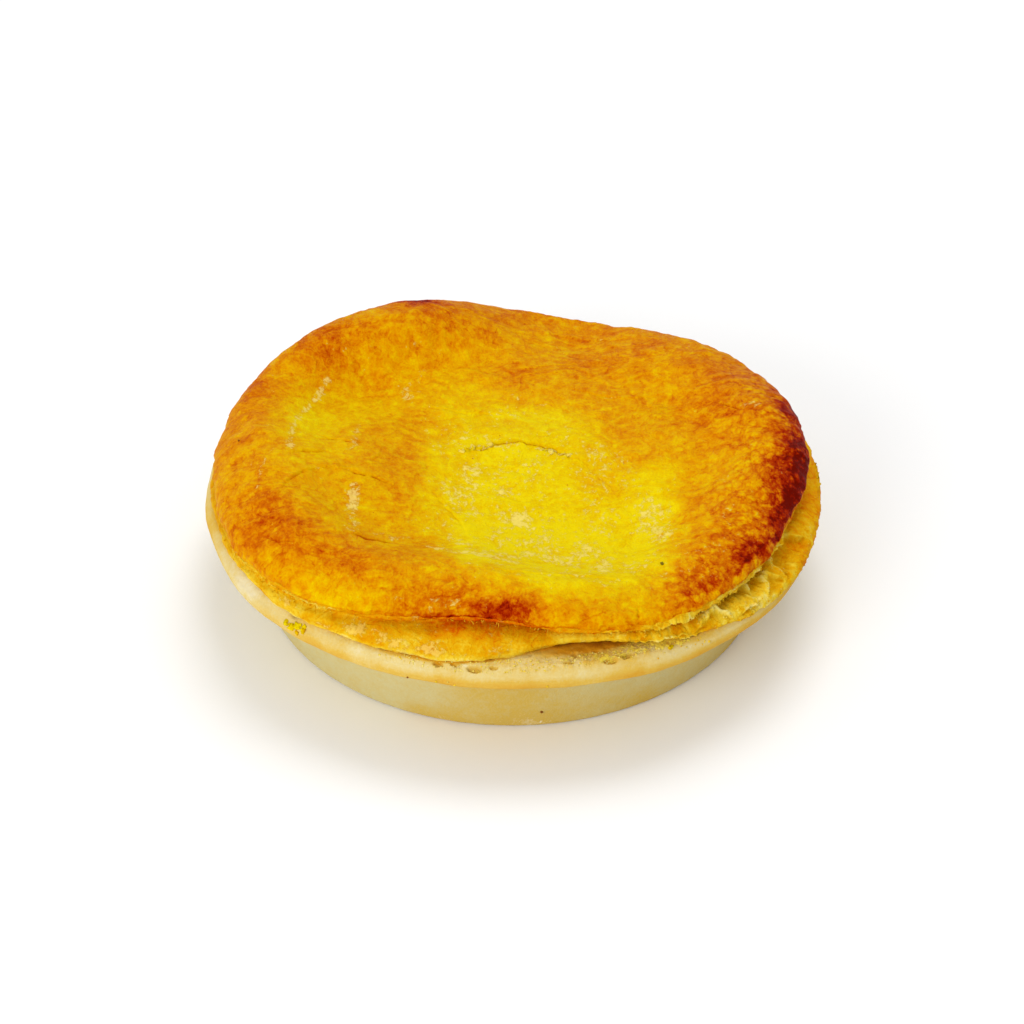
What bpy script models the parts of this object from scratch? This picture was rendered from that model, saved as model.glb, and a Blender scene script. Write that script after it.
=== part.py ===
"""A small round baked pie: a shortcrust case with a pressed flange, under an uneven puff pastry lid.

Metres, +Z up. The origin is the centre of the flat base, which stands on z = 0. The front of the pie,
where the lid shrank back from the flange, faces -Y. Angles are in degrees from +X, counter-clockwise
seen from above, so the front is at 270.

Both pastries are turned shapes that the oven pushed out of round. Each one starts as a profile with a
Screw modifier, and its vertices are then moved by the functions that describe the unevenness.
"""

import math

import bpy

# ---- Driving dimensions: the shortcrust case ----
FLANGE_RADIUS = 0.0600
FLANGE_TOP = 0.0215
FLANGE_UNDERSIDE = 0.0172
WALL_TOP_RADIUS = 0.0538
BASE_RADIUS = 0.0496
BASE_EDGE_ROUND = 0.0014
BASE_CENTRE_RADIUS = 0.0240
WALL_LEAN = 10.0
FLANGE_ROUND_PIECES = 7
BASE_EDGE_PIECES = 3
TOP_RING_RADII = (0.0200, 0.0400, 0.0520)
CASE_STEPS = 88

# ---- Driving dimensions: the puff pastry lid ----
LID_GAP = 0.0003
LID_RADIUS = 0.0575
LOWER_LEAF_RADIUS = 0.0582
LIP_HEIGHT = 0.0266
CREST_HEIGHT = 0.0302
FLOOR_HEIGHT = 0.0262
CREST_SHARE = 0.84
INNER_SLOPE = 0.0150
GROOVE_DEPTH = 0.0008
GROOVE_LEVEL = 0.62
GROOVE_HALF_HEIGHT = 0.15
LEAF_BULGE = 0.0009
LEAF_TUCK = 0.0004
UNDERSIDE_RADIUS = 0.0300
LID_STEPS = 88
TOP_RINGS = 18

# Where a swell lies round the pie: (angle, half width in degrees, amount in metres).
CREST_SWELLS = (
    (124.0, 26.0, 0.0040),
    (154.0, 20.0, -0.0006),
    (76.0, 24.0, -0.0060),
    (36.0, 12.0, -0.0011),
    (4.0, 22.0, 0.0024),
    (195.0, 34.0, 0.0010),
    (302.0, 14.0, -0.0012),
)
CREST_SHARE_SWELLS = (
    (2.0, 22.0, 0.05),
    (152.0, 17.0, 0.09),
)
LID_SWELLS = (
    (262.0, 15.0, -0.0062),
    (212.0, 18.0, 0.0020),
    (300.0, 10.0, 0.0010),
    (338.0, 12.0, -0.0010),
    (8.0, 14.0, -0.0003),
    (72.0, 19.0, -0.0022),
)
LOWER_LEAF_SWELLS = (
    (280.0, 13.0, -0.0052),
    (318.0, 14.0, 0.0014),
)
LIP_SWELLS = (
    (128.0, 32.0, 0.0018),
    (76.0, 24.0, -0.0022),
    (5.0, 24.0, 0.0017),
    (270.0, 30.0, 0.0004),
)
GROOVE_SWELLS = (
    (266.0, 26.0, 0.0026),
    (325.0, 26.0, 0.0022),
)
FLANGE_SWELLS = (
    (322.0, 13.0, 0.0016),
    (218.0, 16.0, 0.0006),
)

# Broad humps and hollows of the lid: (x, y, half width along x, half width along y, height), metres.
HUMPS = (
    (-0.0330, -0.0080, 0.0150, 0.0210, 0.0042),
    (-0.0150, -0.0330, 0.0150, 0.0090, 0.0012),
    (0.0110, -0.0240, 0.0190, 0.0150, -0.0016),
    (-0.0300, 0.0290, 0.0070, 0.0140, -0.0014),
    (0.0380, 0.0020, 0.0120, 0.0240, 0.0018),
    (0.0010, 0.0075, 0.0130, 0.0060, 0.0009),
)

# How far up the lid's edge each ring of the profile lies, from the flange (0) to the lip (1).
EDGE_LEVELS = (0.0, 0.12, 0.30, 0.46, 0.58, 0.68, 0.80, 0.91, 1.0)

# ---- Making ----
SMOOTH_BELOW_ANGLE = 50.0
MERGE_DISTANCE = 0.000001
TOP_HEIGHT_TEST = 0.999
EDGE_RADIUS_TEST = 0.99

# ---- Finishes: colour, then roughness ----
SHORTCRUST_COLOUR = (0.72, 0.60, 0.33, 1.0)
SHORTCRUST_ROUGHNESS = 0.75
PUFF_COLOUR = (0.80, 0.42, 0.03, 1.0)
PUFF_ROUGHNESS = 0.5


def swelling(angle, swells):
    """The sum of the swells at this angle in degrees, each a smooth bell round its own angle."""
    total = 0.0
    for centre, half_width, amount in swells:
        away = (angle - centre + 180.0) % 360.0 - 180.0
        total += amount * math.exp(-((away / half_width) ** 2))
    return total


def lid_radius(angle):
    return LID_RADIUS + swelling(angle, LID_SWELLS)


def lip_height(angle):
    return LIP_HEIGHT + swelling(angle, LIP_SWELLS)


def lid_height(radius, angle):
    """The lid's top surface: a rolled ring round a sunken floor, with broad humps and hollows on it."""
    edge = lid_radius(angle)
    crest_radius = edge * (CREST_SHARE + swelling(angle, CREST_SHARE_SWELLS))
    crest = CREST_HEIGHT + swelling(angle, CREST_SWELLS)
    if radius < crest_radius:
        inward = min((crest_radius - radius) / INNER_SLOPE, 1.0)
        base = FLOOR_HEIGHT + (crest - FLOOR_HEIGHT) * 0.5 * (1.0 + math.cos(math.pi * inward))
        fade = 1.0
    else:
        outward = min((radius - crest_radius) / (edge - crest_radius), 1.0)
        lip = lip_height(angle)
        base = lip + (crest - lip) * math.sqrt(1.0 - outward * outward)
        fade = 1.0 - outward * outward
    x = radius * math.cos(math.radians(angle))
    y = radius * math.sin(math.radians(angle))
    relief = 0.0
    for hump_x, hump_y, wide, deep, height in HUMPS:
        relief += height * math.exp(-(((x - hump_x) / wide) ** 2) - ((y - hump_y) / deep) ** 2)
    return base + relief * fade


def lid_edge(level, angle):
    """Radius and height of the lid's edge: a bulging lower leaf, a groove, and the upper leaf's lip."""
    foot = FLANGE_TOP + LID_GAP
    height = foot + (lip_height(angle) - foot) * level
    leaf = LOWER_LEAF_RADIUS + swelling(angle, LOWER_LEAF_SWELLS)
    upper = lid_radius(angle)
    blend = 0.5 - 0.5 * math.cos(math.pi * level)
    depth = GROOVE_DEPTH + swelling(angle, GROOVE_SWELLS)
    groove = depth * math.exp(-(((level - GROOVE_LEVEL) / GROOVE_HALF_HEIGHT) ** 2))
    bulge = LEAF_BULGE * math.sin(math.pi * min(level / GROOVE_LEVEL, 1.0)) - LEAF_TUCK
    return leaf + (upper - leaf) * blend + bulge - groove, height


def turned(name, profile, steps, collection):
    """A mesh object turned round +Z from a profile that runs down its outer side, from axis to axis."""
    guide_mesh = bpy.data.meshes.new(name + "_profile")
    edges = [(i, i + 1) for i in range(len(profile) - 1)]
    guide_mesh.from_pydata([(radius, 0.0, height) for radius, height in profile], edges, [])
    guide = bpy.data.objects.new(name + "_profile", guide_mesh)
    collection.objects.link(guide)
    screw = guide.modifiers.new("turn", "SCREW")
    screw.axis = "Z"
    screw.steps = steps
    screw.render_steps = steps
    screw.use_merge_vertices = True
    screw.merge_threshold = MERGE_DISTANCE
    screw.use_smooth_shade = True
    bpy.context.view_layer.update()
    evaluated = guide.evaluated_get(bpy.context.evaluated_depsgraph_get())
    mesh = bpy.data.meshes.new_from_object(evaluated)
    mesh.name = name
    bpy.data.objects.remove(guide)
    solid = bpy.data.objects.new(name, mesh)
    collection.objects.link(solid)
    return solid


def rounded_corner(centre_radius, centre_height, size, start, end, pieces):
    """Points of an arc in the profile, from the start angle to the end angle in degrees."""
    points = []
    for i in range(pieces + 1):
        turn = math.radians(start + (end - start) * i / pieces)
        points.append((centre_radius + size * math.cos(turn), centre_height + size * math.sin(turn)))
    return points


def make_case(collection):
    """The shortcrust case, solid because nothing of its inside shows: base, sloping wall and flange."""
    half = 0.5 * (FLANGE_TOP - FLANGE_UNDERSIDE)
    top = [(radius, FLANGE_TOP) for radius in (0.0,) + TOP_RING_RADII]
    rim = rounded_corner(FLANGE_RADIUS - half, FLANGE_TOP - half, half, 90.0, -90.0, FLANGE_ROUND_PIECES)
    wall = [(WALL_TOP_RADIUS, FLANGE_UNDERSIDE)]
    foot_centre = BASE_RADIUS - BASE_EDGE_ROUND
    foot = rounded_corner(
        foot_centre, BASE_EDGE_ROUND, BASE_EDGE_ROUND, -WALL_LEAN, -90.0, BASE_EDGE_PIECES
    )
    base = [(BASE_CENTRE_RADIUS, 0.0), (0.0, 0.0)]
    case = turned("shortcrust_case", top + rim + wall + foot + base, CASE_STEPS, collection)
    for vertex in case.data.vertices:
        radius = math.hypot(vertex.co.x, vertex.co.y)
        if radius <= WALL_TOP_RADIUS:
            continue
        angle = math.degrees(math.atan2(vertex.co.y, vertex.co.x))
        share = (radius - WALL_TOP_RADIUS) / (FLANGE_RADIUS - WALL_TOP_RADIUS)
        stretch = 1.0 + share * swelling(angle, FLANGE_SWELLS) / radius
        vertex.co.x *= stretch
        vertex.co.y *= stretch
    return case


def make_lid(collection):
    """The puff pastry lid: its top rings carry the relief, and its edge rings the two leaves.

    It is turned as a plain puck whose top lies at height 1 and whose edge levels lie between 0 and 1,
    so that each vertex says by its height where on the lid it belongs.
    """
    top = [(LID_RADIUS * i / TOP_RINGS, 1.0) for i in range(TOP_RINGS + 1)]
    edge = [(LID_RADIUS, level) for level in reversed(EDGE_LEVELS[:-1])]
    underside = [(UNDERSIDE_RADIUS, 0.0), (0.0, 0.0)]
    lid = turned("puff_lid", top + edge + underside, LID_STEPS, collection)
    for vertex in lid.data.vertices:
        puck_radius = math.hypot(vertex.co.x, vertex.co.y)
        level = vertex.co.z
        angle = math.degrees(math.atan2(vertex.co.y, vertex.co.x))
        if level > TOP_HEIGHT_TEST:
            radius = puck_radius / LID_RADIUS * lid_radius(angle)
            height = lid_height(radius, angle)
        elif puck_radius > EDGE_RADIUS_TEST * LID_RADIUS:
            radius, height = lid_edge(level, angle)
        else:
            radius, height = puck_radius, FLANGE_TOP + LID_GAP
        vertex.co = (
            radius * math.cos(math.radians(angle)),
            radius * math.sin(math.radians(angle)),
            height,
        )
    return lid


def pastry(name, colour, roughness):
    material = bpy.data.materials.new(name)
    material.use_nodes = True
    shader = material.node_tree.nodes["Principled BSDF"]
    shader.inputs["Base Color"].default_value = colour
    shader.inputs["Roughness"].default_value = roughness
    shader.inputs["Metallic"].default_value = 0.0
    material.diffuse_color = colour
    return material


def main():
    for old in list(bpy.data.objects):
        bpy.data.objects.remove(old)
    pie = bpy.data.collections.new("meat_pie")
    bpy.context.scene.collection.children.link(pie)
    case = make_case(pie)
    lid = make_lid(pie)
    case.data.materials.append(pastry("shortcrust", SHORTCRUST_COLOUR, SHORTCRUST_ROUGHNESS))
    lid.data.materials.append(pastry("puff_pastry", PUFF_COLOUR, PUFF_ROUGHNESS))
    for solid in (case, lid):
        solid.data.shade_smooth()
        solid.data.set_sharp_from_angle(angle=math.radians(SMOOTH_BELOW_ANGLE))


main()
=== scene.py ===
"""A single-serve meat pie: a pale shortcrust case with a pressed flange, under a baked puff pastry lid.

The lid is built the way it was laid: an upper leaf that carries the egg wash, a lower leaf that swells
out under it and gapes on the right, and thin torn shreds that hang from the lip. Crumbs, flakes and
threads lie on them. Metres, +Z up, the front at -Y, angles in degrees from +X, so that the front is at
270. Sizes are written in millimetres times MM. Browning runs from 0, pale, to 1, burnt.
"""

import logging
import math
import random
from contextlib import contextmanager
from dataclasses import dataclass
from enum import Enum
from typing import Callable, Iterator, NamedTuple, Sequence

import bmesh
import bpy
import numpy as np
from mathutils import Matrix, Vector, noise
from mathutils.bvhtree import BVHTree


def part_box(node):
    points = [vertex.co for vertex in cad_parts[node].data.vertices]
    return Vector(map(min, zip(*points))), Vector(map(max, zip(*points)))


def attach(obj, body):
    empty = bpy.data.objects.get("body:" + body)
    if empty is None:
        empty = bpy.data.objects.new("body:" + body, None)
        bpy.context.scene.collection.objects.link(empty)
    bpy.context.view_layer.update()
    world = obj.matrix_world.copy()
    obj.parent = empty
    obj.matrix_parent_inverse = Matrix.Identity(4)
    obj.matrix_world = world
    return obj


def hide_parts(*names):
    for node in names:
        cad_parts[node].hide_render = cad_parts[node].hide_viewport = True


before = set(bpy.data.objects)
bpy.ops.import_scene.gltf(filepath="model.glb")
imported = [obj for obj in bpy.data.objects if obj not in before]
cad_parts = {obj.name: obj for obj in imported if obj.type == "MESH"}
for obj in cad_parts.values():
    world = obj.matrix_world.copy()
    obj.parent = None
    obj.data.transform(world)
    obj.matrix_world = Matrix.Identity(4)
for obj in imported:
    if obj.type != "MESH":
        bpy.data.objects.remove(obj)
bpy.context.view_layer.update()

LOG = logging.getLogger("meat_pie")
MM = 0.001

Array = np.ndarray
Piece = bpy.types.Object
Tree = bpy.types.NodeTree
Socket = bpy.types.NodeSocket
Pair = tuple[float, float]
Line = Sequence[Pair]
Swells = Sequence[tuple[float, float, float]]
Humps = Sequence[tuple[float, float, float, float, float]]
Colour = tuple[float, float, float]
Scale = Sequence[tuple[float, Colour]]


# ---------------------------------------------------------------- numbers and noise


def unit(value: Array) -> Array:
    """The value held between 0 and 1."""
    return np.clip(value, 0.0, 1.0)


def smooth(low: float, high: float, value: Array) -> Array:
    """A soft step from 0 at low to 1 at high."""
    share = unit((value - low) / (high - low))
    return share * share * (3.0 - 2.0 * share)


def swelling(angle: Array, swells: Swells) -> Array:
    """Sums smooth bells round the pie.

    Args:
        angle: Angles in degrees.
        swells: Each bell's angle, half width in degrees and amount.

    Returns:
        The sum at each angle.
    """
    total = np.zeros_like(angle)
    for centre, half_width, amount in swells:
        away = (angle - centre + 180.0) % 360.0 - 180.0
        total += amount * np.exp(-((away / half_width) ** 2))
    return total


def within(angle: Array, start: float, end: float, soft: float) -> Array:
    """1 inside an arc from one angle to another, 0 outside it, with soft ends."""
    half = 0.5 * (end - start)
    away = np.abs((angle - start - half + 180.0) % 360.0 - 180.0)
    return smooth(half + soft, half - soft, away)


def humps_at(x: Array, y: Array, humps: Humps) -> Array:
    """Sums smooth mounds on the plan.

    Args:
        x: Places to the right.
        y: Places to the back.
        humps: Each mound's x, y, half width along x, half width along y, and amount.

    Returns:
        The sum at each place.
    """
    total = np.zeros_like(x)
    for hump_x, hump_y, wide, deep, amount in humps:
        total += amount * np.exp(-(((x - hump_x) / wide) ** 2) - ((y - hump_y) / deep) ** 2)
    return total


def cloud(places: Array, size: float, octaves: int = 3, seed: float = 0.0) -> Array:
    """Fractal noise from about -1 to 1.

    Args:
        places: Points, one a row.
        size: Width of the largest lumps.
        octaves: How many finer lumps are added.
        seed: Shifts the pattern.

    Returns:
        The noise at each point.
    """
    shifted = places / size + seed * 7.31
    return np.array([noise.fractal(p, 1.0, 2.0, octaves) for p in shifted.tolist()])


@dataclass(frozen=True)
class Grain:
    """Lumps of one size, strength and seed, for a relief or for a share of browning."""

    amount: float
    size: float
    octaves: int
    seed: float

    def at(self, places: Array) -> Array:
        """The lumps at each place, from about -amount to amount."""
        return self.amount * cloud(places, self.size, self.octaves, self.seed)


def layered(places: Array, grains: Sequence[Grain]) -> Array:
    """Several grains on top of each other."""
    return sum(grain.at(places) for grain in grains)


def bell(value: Array, middle: float, half_width: float) -> Array:
    """A smooth hump of height 1 round a middle value."""
    return np.exp(-(((value - middle) / half_width) ** 2))


def blisters(places: Array, size: float, seed: float = 0.0) -> Array:
    """Round domes from 0 to 1, about one to each patch of the given size."""
    shifted = places / size + seed * 3.17
    away = np.array([noise.voronoi(p)[0][0] for p in shifted.tolist()])
    return unit(1.0 - (away / 0.62) ** 2)


def shingles(levels: Array, rise: float = 0.3) -> Array:
    """Turns a smooth field into overlapping plates, each rising steeply and falling away slowly."""
    rest = levels - np.floor(levels)
    return smooth(0.0, rise, rest) - rest


def polar(places: Array) -> tuple[Array, Array]:
    """Each point's distance from the axis and its angle in degrees."""
    return np.hypot(places[:, 0], places[:, 1]), np.degrees(np.arctan2(places[:, 1], places[:, 0]))


def from_polar(radius: Array, angle: Array, height: Array) -> Array:
    """Points from their distance from the axis, angle in degrees and height."""
    turn = np.radians(angle)
    return np.stack([radius * np.cos(turn), radius * np.sin(turn), height], axis=1)


def round_path(angle: Array, radius: float, depth: Array | float = 0.0) -> Array:
    """Points on a circle, for noise that runs round the pie without a seam."""
    turn = np.radians(angle)
    deep = np.broadcast_to(np.asarray(depth, dtype=float), turn.shape)
    return np.stack([radius * np.cos(turn), radius * np.sin(turn), deep], axis=1)


def follow(x: Array, y: Array, line: Line) -> tuple:
    """Places near a line on the plan.

    Args:
        x: Places to the right.
        y: Places to the back.
        line: The line's points.

    Returns:
        The distance from the line, positive to its left, and how far along it lies, from 0 to 1.
    """
    best = np.full(x.shape, np.inf)
    side = np.ones(x.shape)
    progress = np.zeros(x.shape)
    for number, ((ax, ay), (bx, by)) in enumerate(zip(line[:-1], line[1:])):
        run_x, run_y = bx - ax, by - ay
        along = unit(((x - ax) * run_x + (y - ay) * run_y) / (run_x**2 + run_y**2))
        away = np.hypot(x - ax - along * run_x, y - ay - along * run_y)
        left = np.sign(run_x * (y - ay) - run_y * (x - ax))
        nearer = away < best
        best = np.where(nearer, away, best)
        side = np.where(nearer, left, side)
        progress = np.where(nearer, (number + along) / (len(line) - 1), progress)
    return best * side, progress


# ---------------------------------------------------------------- work on a mesh


def take(piece: Piece) -> None:
    """Makes a piece the only selected object and the active one."""
    bpy.ops.object.select_all(action="DESELECT")
    piece.select_set(True)
    bpy.context.view_layer.objects.active = piece


def add(primitive: Callable, name: str, **settings) -> Piece:
    """Adds a primitive, a light or a camera while nothing else is selected.

    Args:
        primitive: The operator that adds it.
        name: Its name, which its data gets too.
        settings: The operator's settings.

    Returns:
        The new object.
    """
    bpy.ops.object.select_all(action="DESELECT")
    primitive(**settings)
    added = bpy.context.object
    added.name = name
    added.data.name = name
    return added


@contextmanager
def editing(piece: Piece) -> Iterator[None]:
    """Keeps a piece in edit mode, at first all selected, for the length of a with block."""
    take(piece)
    bpy.ops.object.mode_set(mode="EDIT")
    bpy.ops.mesh.select_all(action="SELECT")
    yield
    bpy.ops.object.mode_set(mode="OBJECT")


def pick(piece: Piece, test: Callable[[bmesh.types.BMVert], bool]) -> None:
    """Selects, in edit mode, only the points of a mesh that pass a test, and what they enclose."""
    bpy.ops.mesh.select_mode(type="VERT")
    bpy.ops.mesh.select_all(action="DESELECT")
    mesh = bmesh.from_edit_mesh(piece.data)
    mesh.verts.index_update()
    for point in mesh.verts:
        if test(point):
            point.select_set(True)
    mesh.select_flush_mode()
    bmesh.update_edit_mesh(piece.data)


def face_outwards() -> None:
    """Turns every face of the piece in edit mode outwards."""
    bpy.ops.mesh.select_all(action="SELECT")
    bpy.ops.mesh.normals_make_consistent(inside=False)


def settle(piece: Piece) -> Piece:
    """Puts a piece's place into its mesh, shades it smooth and returns it."""
    take(piece)
    bpy.ops.object.transform_apply(location=True, rotation=True, scale=True)
    bpy.ops.object.shade_smooth()
    return piece


def places_of(piece: Piece) -> Array:
    """A mesh's vertices, one point a row."""
    flat = np.empty(len(piece.data.vertices) * 3)
    piece.data.vertices.foreach_get("co", flat)
    return flat.reshape(-1, 3)


def set_places(piece: Piece, places: Array) -> None:
    """Moves a mesh's vertices to these points."""
    piece.data.vertices.foreach_set("co", places.ravel())
    piece.data.update()


def normals_of(piece: Piece) -> Array:
    """The directions in which a mesh's vertices face."""
    flat = np.empty(len(piece.data.vertices) * 3)
    piece.data.vertex_normals.foreach_get("vector", flat)
    return flat.reshape(-1, 3)


def push_out(piece: Piece, amount: Array) -> None:
    """Moves each vertex along its own direction by an amount of its own."""
    set_places(piece, places_of(piece) + normals_of(piece) * amount[:, None])


def paint(piece: Piece, name: str, values: Array) -> None:
    """Writes a value for each vertex under a name that a finish reads."""
    layer = piece.data.attributes.new(name, "FLOAT", "POINT")
    layer.data.foreach_set("value", values.astype(np.float32))


def modify(piece: Piece, kind: str, **settings) -> None:
    """Adds a modifier to a piece with these settings, and applies it."""
    take(piece)
    modifier = piece.modifiers.new(kind.lower(), kind)
    for name, value in settings.items():
        setattr(modifier, name, value)
    bpy.ops.object.modifier_apply(modifier=modifier.name)


def subdivide(piece: Piece, levels: int) -> None:
    """Splits every face evenly, without moving anything."""
    modify(piece, "SUBSURF", subdivision_type="SIMPLE", levels=levels, render_levels=levels)


def refine(piece: Piece, wanted: Array, cuts: int) -> None:
    """Splits the faces whose corners are all wanted.

    Args:
        piece: The piece.
        wanted: For each vertex, whether it is wanted.
        cuts: Cuts along each edge.
    """
    with editing(piece):
        pick(piece, lambda point: wanted[point.index])
        bpy.ops.mesh.subdivide(number_cuts=cuts)


def dress(piece: Piece, material: bpy.types.Material, node: str) -> None:
    """Gives a finished piece its material and its place in the frame.

    Args:
        piece: The piece.
        material: Its material.
        node: The CAD node that it stands for.
    """
    piece.data.materials.clear()
    piece.data.materials.append(material)
    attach(piece, "root")
    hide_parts(node)
    LOG.info("%s: %d vertices, %d faces", piece.name, len(piece.data.vertices), len(piece.data.polygons))


class RingCage:
    """A ring that is drawn out row by row, the way a pot is thrown."""

    slack = 1e-5

    def __init__(self, name: str, sides: int, radius: float, height: float) -> None:
        """Adds the first ring and goes into edit mode.

        Args:
            name: The piece's name.
            sides: Points in each ring.
            radius: The first ring's radius.
            height: The first ring's height.
        """
        ring = bpy.ops.mesh.primitive_circle_add
        self.piece = add(ring, name, vertices=sides, radius=radius, location=(0.0, 0.0, height))
        bpy.ops.object.transform_apply(location=True, rotation=True, scale=True)
        self.sides = sides
        self.radius = radius
        self.height = height
        bpy.ops.object.mode_set(mode="EDIT")
        bpy.ops.mesh.select_all(action="SELECT")

    def draw_to(self, radius: float, height: float) -> None:
        """Extrudes the last ring to a new radius and height."""
        rise = height - self.height
        bpy.ops.mesh.extrude_region_move(TRANSFORM_OT_translate={"value": (0.0, 0.0, rise)})
        share = radius / self.radius
        bpy.ops.transform.resize(value=(share, share, 1.0), center_override=(0.0, 0.0, height))
        self.radius = radius
        self.height = height

    def draw_rows(self, radius: float, height: float, rows: int) -> None:
        """Extrudes the last ring to a new radius and height in even rows."""
        start_radius, start_height = self.radius, self.height
        for row in range(1, rows + 1):
            share = row / rows
            self.draw_to(
                start_radius + (radius - start_radius) * share,
                start_height + (height - start_height) * share,
            )

    def draw_round(
        self, centre: Pair, bend: float, turns: Pair, rows: int
    ) -> None:
        """Extrudes the last ring along an arc in even rows.

        Args:
            centre: The arc's centre, as distance from the axis and height.
            bend: The arc's radius.
            turns: The arc's first and last angle in degrees; the first is where the last ring lies.
            rows: How many rows.
        """
        for row in range(1, rows + 1):
            turn = math.radians(turns[0] + (turns[1] - turns[0]) * row / rows)
            self.draw_to(centre[0] + bend * math.cos(turn), centre[1] + bend * math.sin(turn))

    def _pick_rings(self, *rings: Pair) -> None:
        """Selects the points on the rings of these radii and heights."""
        def on_rings(point: bmesh.types.BMVert) -> bool:
            """Whether a point lies on one of them."""
            away = math.hypot(point.co.x, point.co.y)
            return any(abs(away - r) < self.slack and abs(point.co.z - z) < self.slack for r, z in rings)

        pick(self.piece, on_rings)

    def close(self) -> None:
        """Closes the ring that is selected at its middle."""
        bpy.ops.mesh.extrude_region_move()
        bpy.ops.mesh.merge(type="CENTER")

    def close_ring(self, radius: float, height: float) -> None:
        """Closes an open ring at its middle."""
        self._pick_rings((radius, height))
        self.close()

    def fill_ring(self, radius: float, height: float) -> None:
        """Fills an open ring with an even grid."""
        self._pick_rings((radius, height))
        bpy.ops.mesh.fill_grid(span=self.sides // 4, offset=0)

    def bridge_ends(self, radius: float, height: float) -> None:
        """Joins the last ring to the first, which had this radius and height."""
        self._pick_rings((radius, height), (self.radius, self.height))
        bpy.ops.mesh.bridge_edge_loops()

    def lift_off(self) -> Piece:
        """Leaves edit mode with every face pointing out, and returns the piece."""
        face_outwards()
        bpy.ops.object.mode_set(mode="OBJECT")
        return self.piece


# ---------------------------------------------------------------- the lid's form


def node_size(node: str) -> tuple[float, float, float]:
    """A solid's radius over its box, and its lowest and highest heights."""
    low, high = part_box(node)
    return 0.25 * (high[0] - low[0] + high[1] - low[1]), low[2], high[2]


FLANGE_RADIUS, _, FLANGE_TOP = node_size("shortcrust_case")
_, LID_FOOT, _ = node_size("puff_lid")


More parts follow.
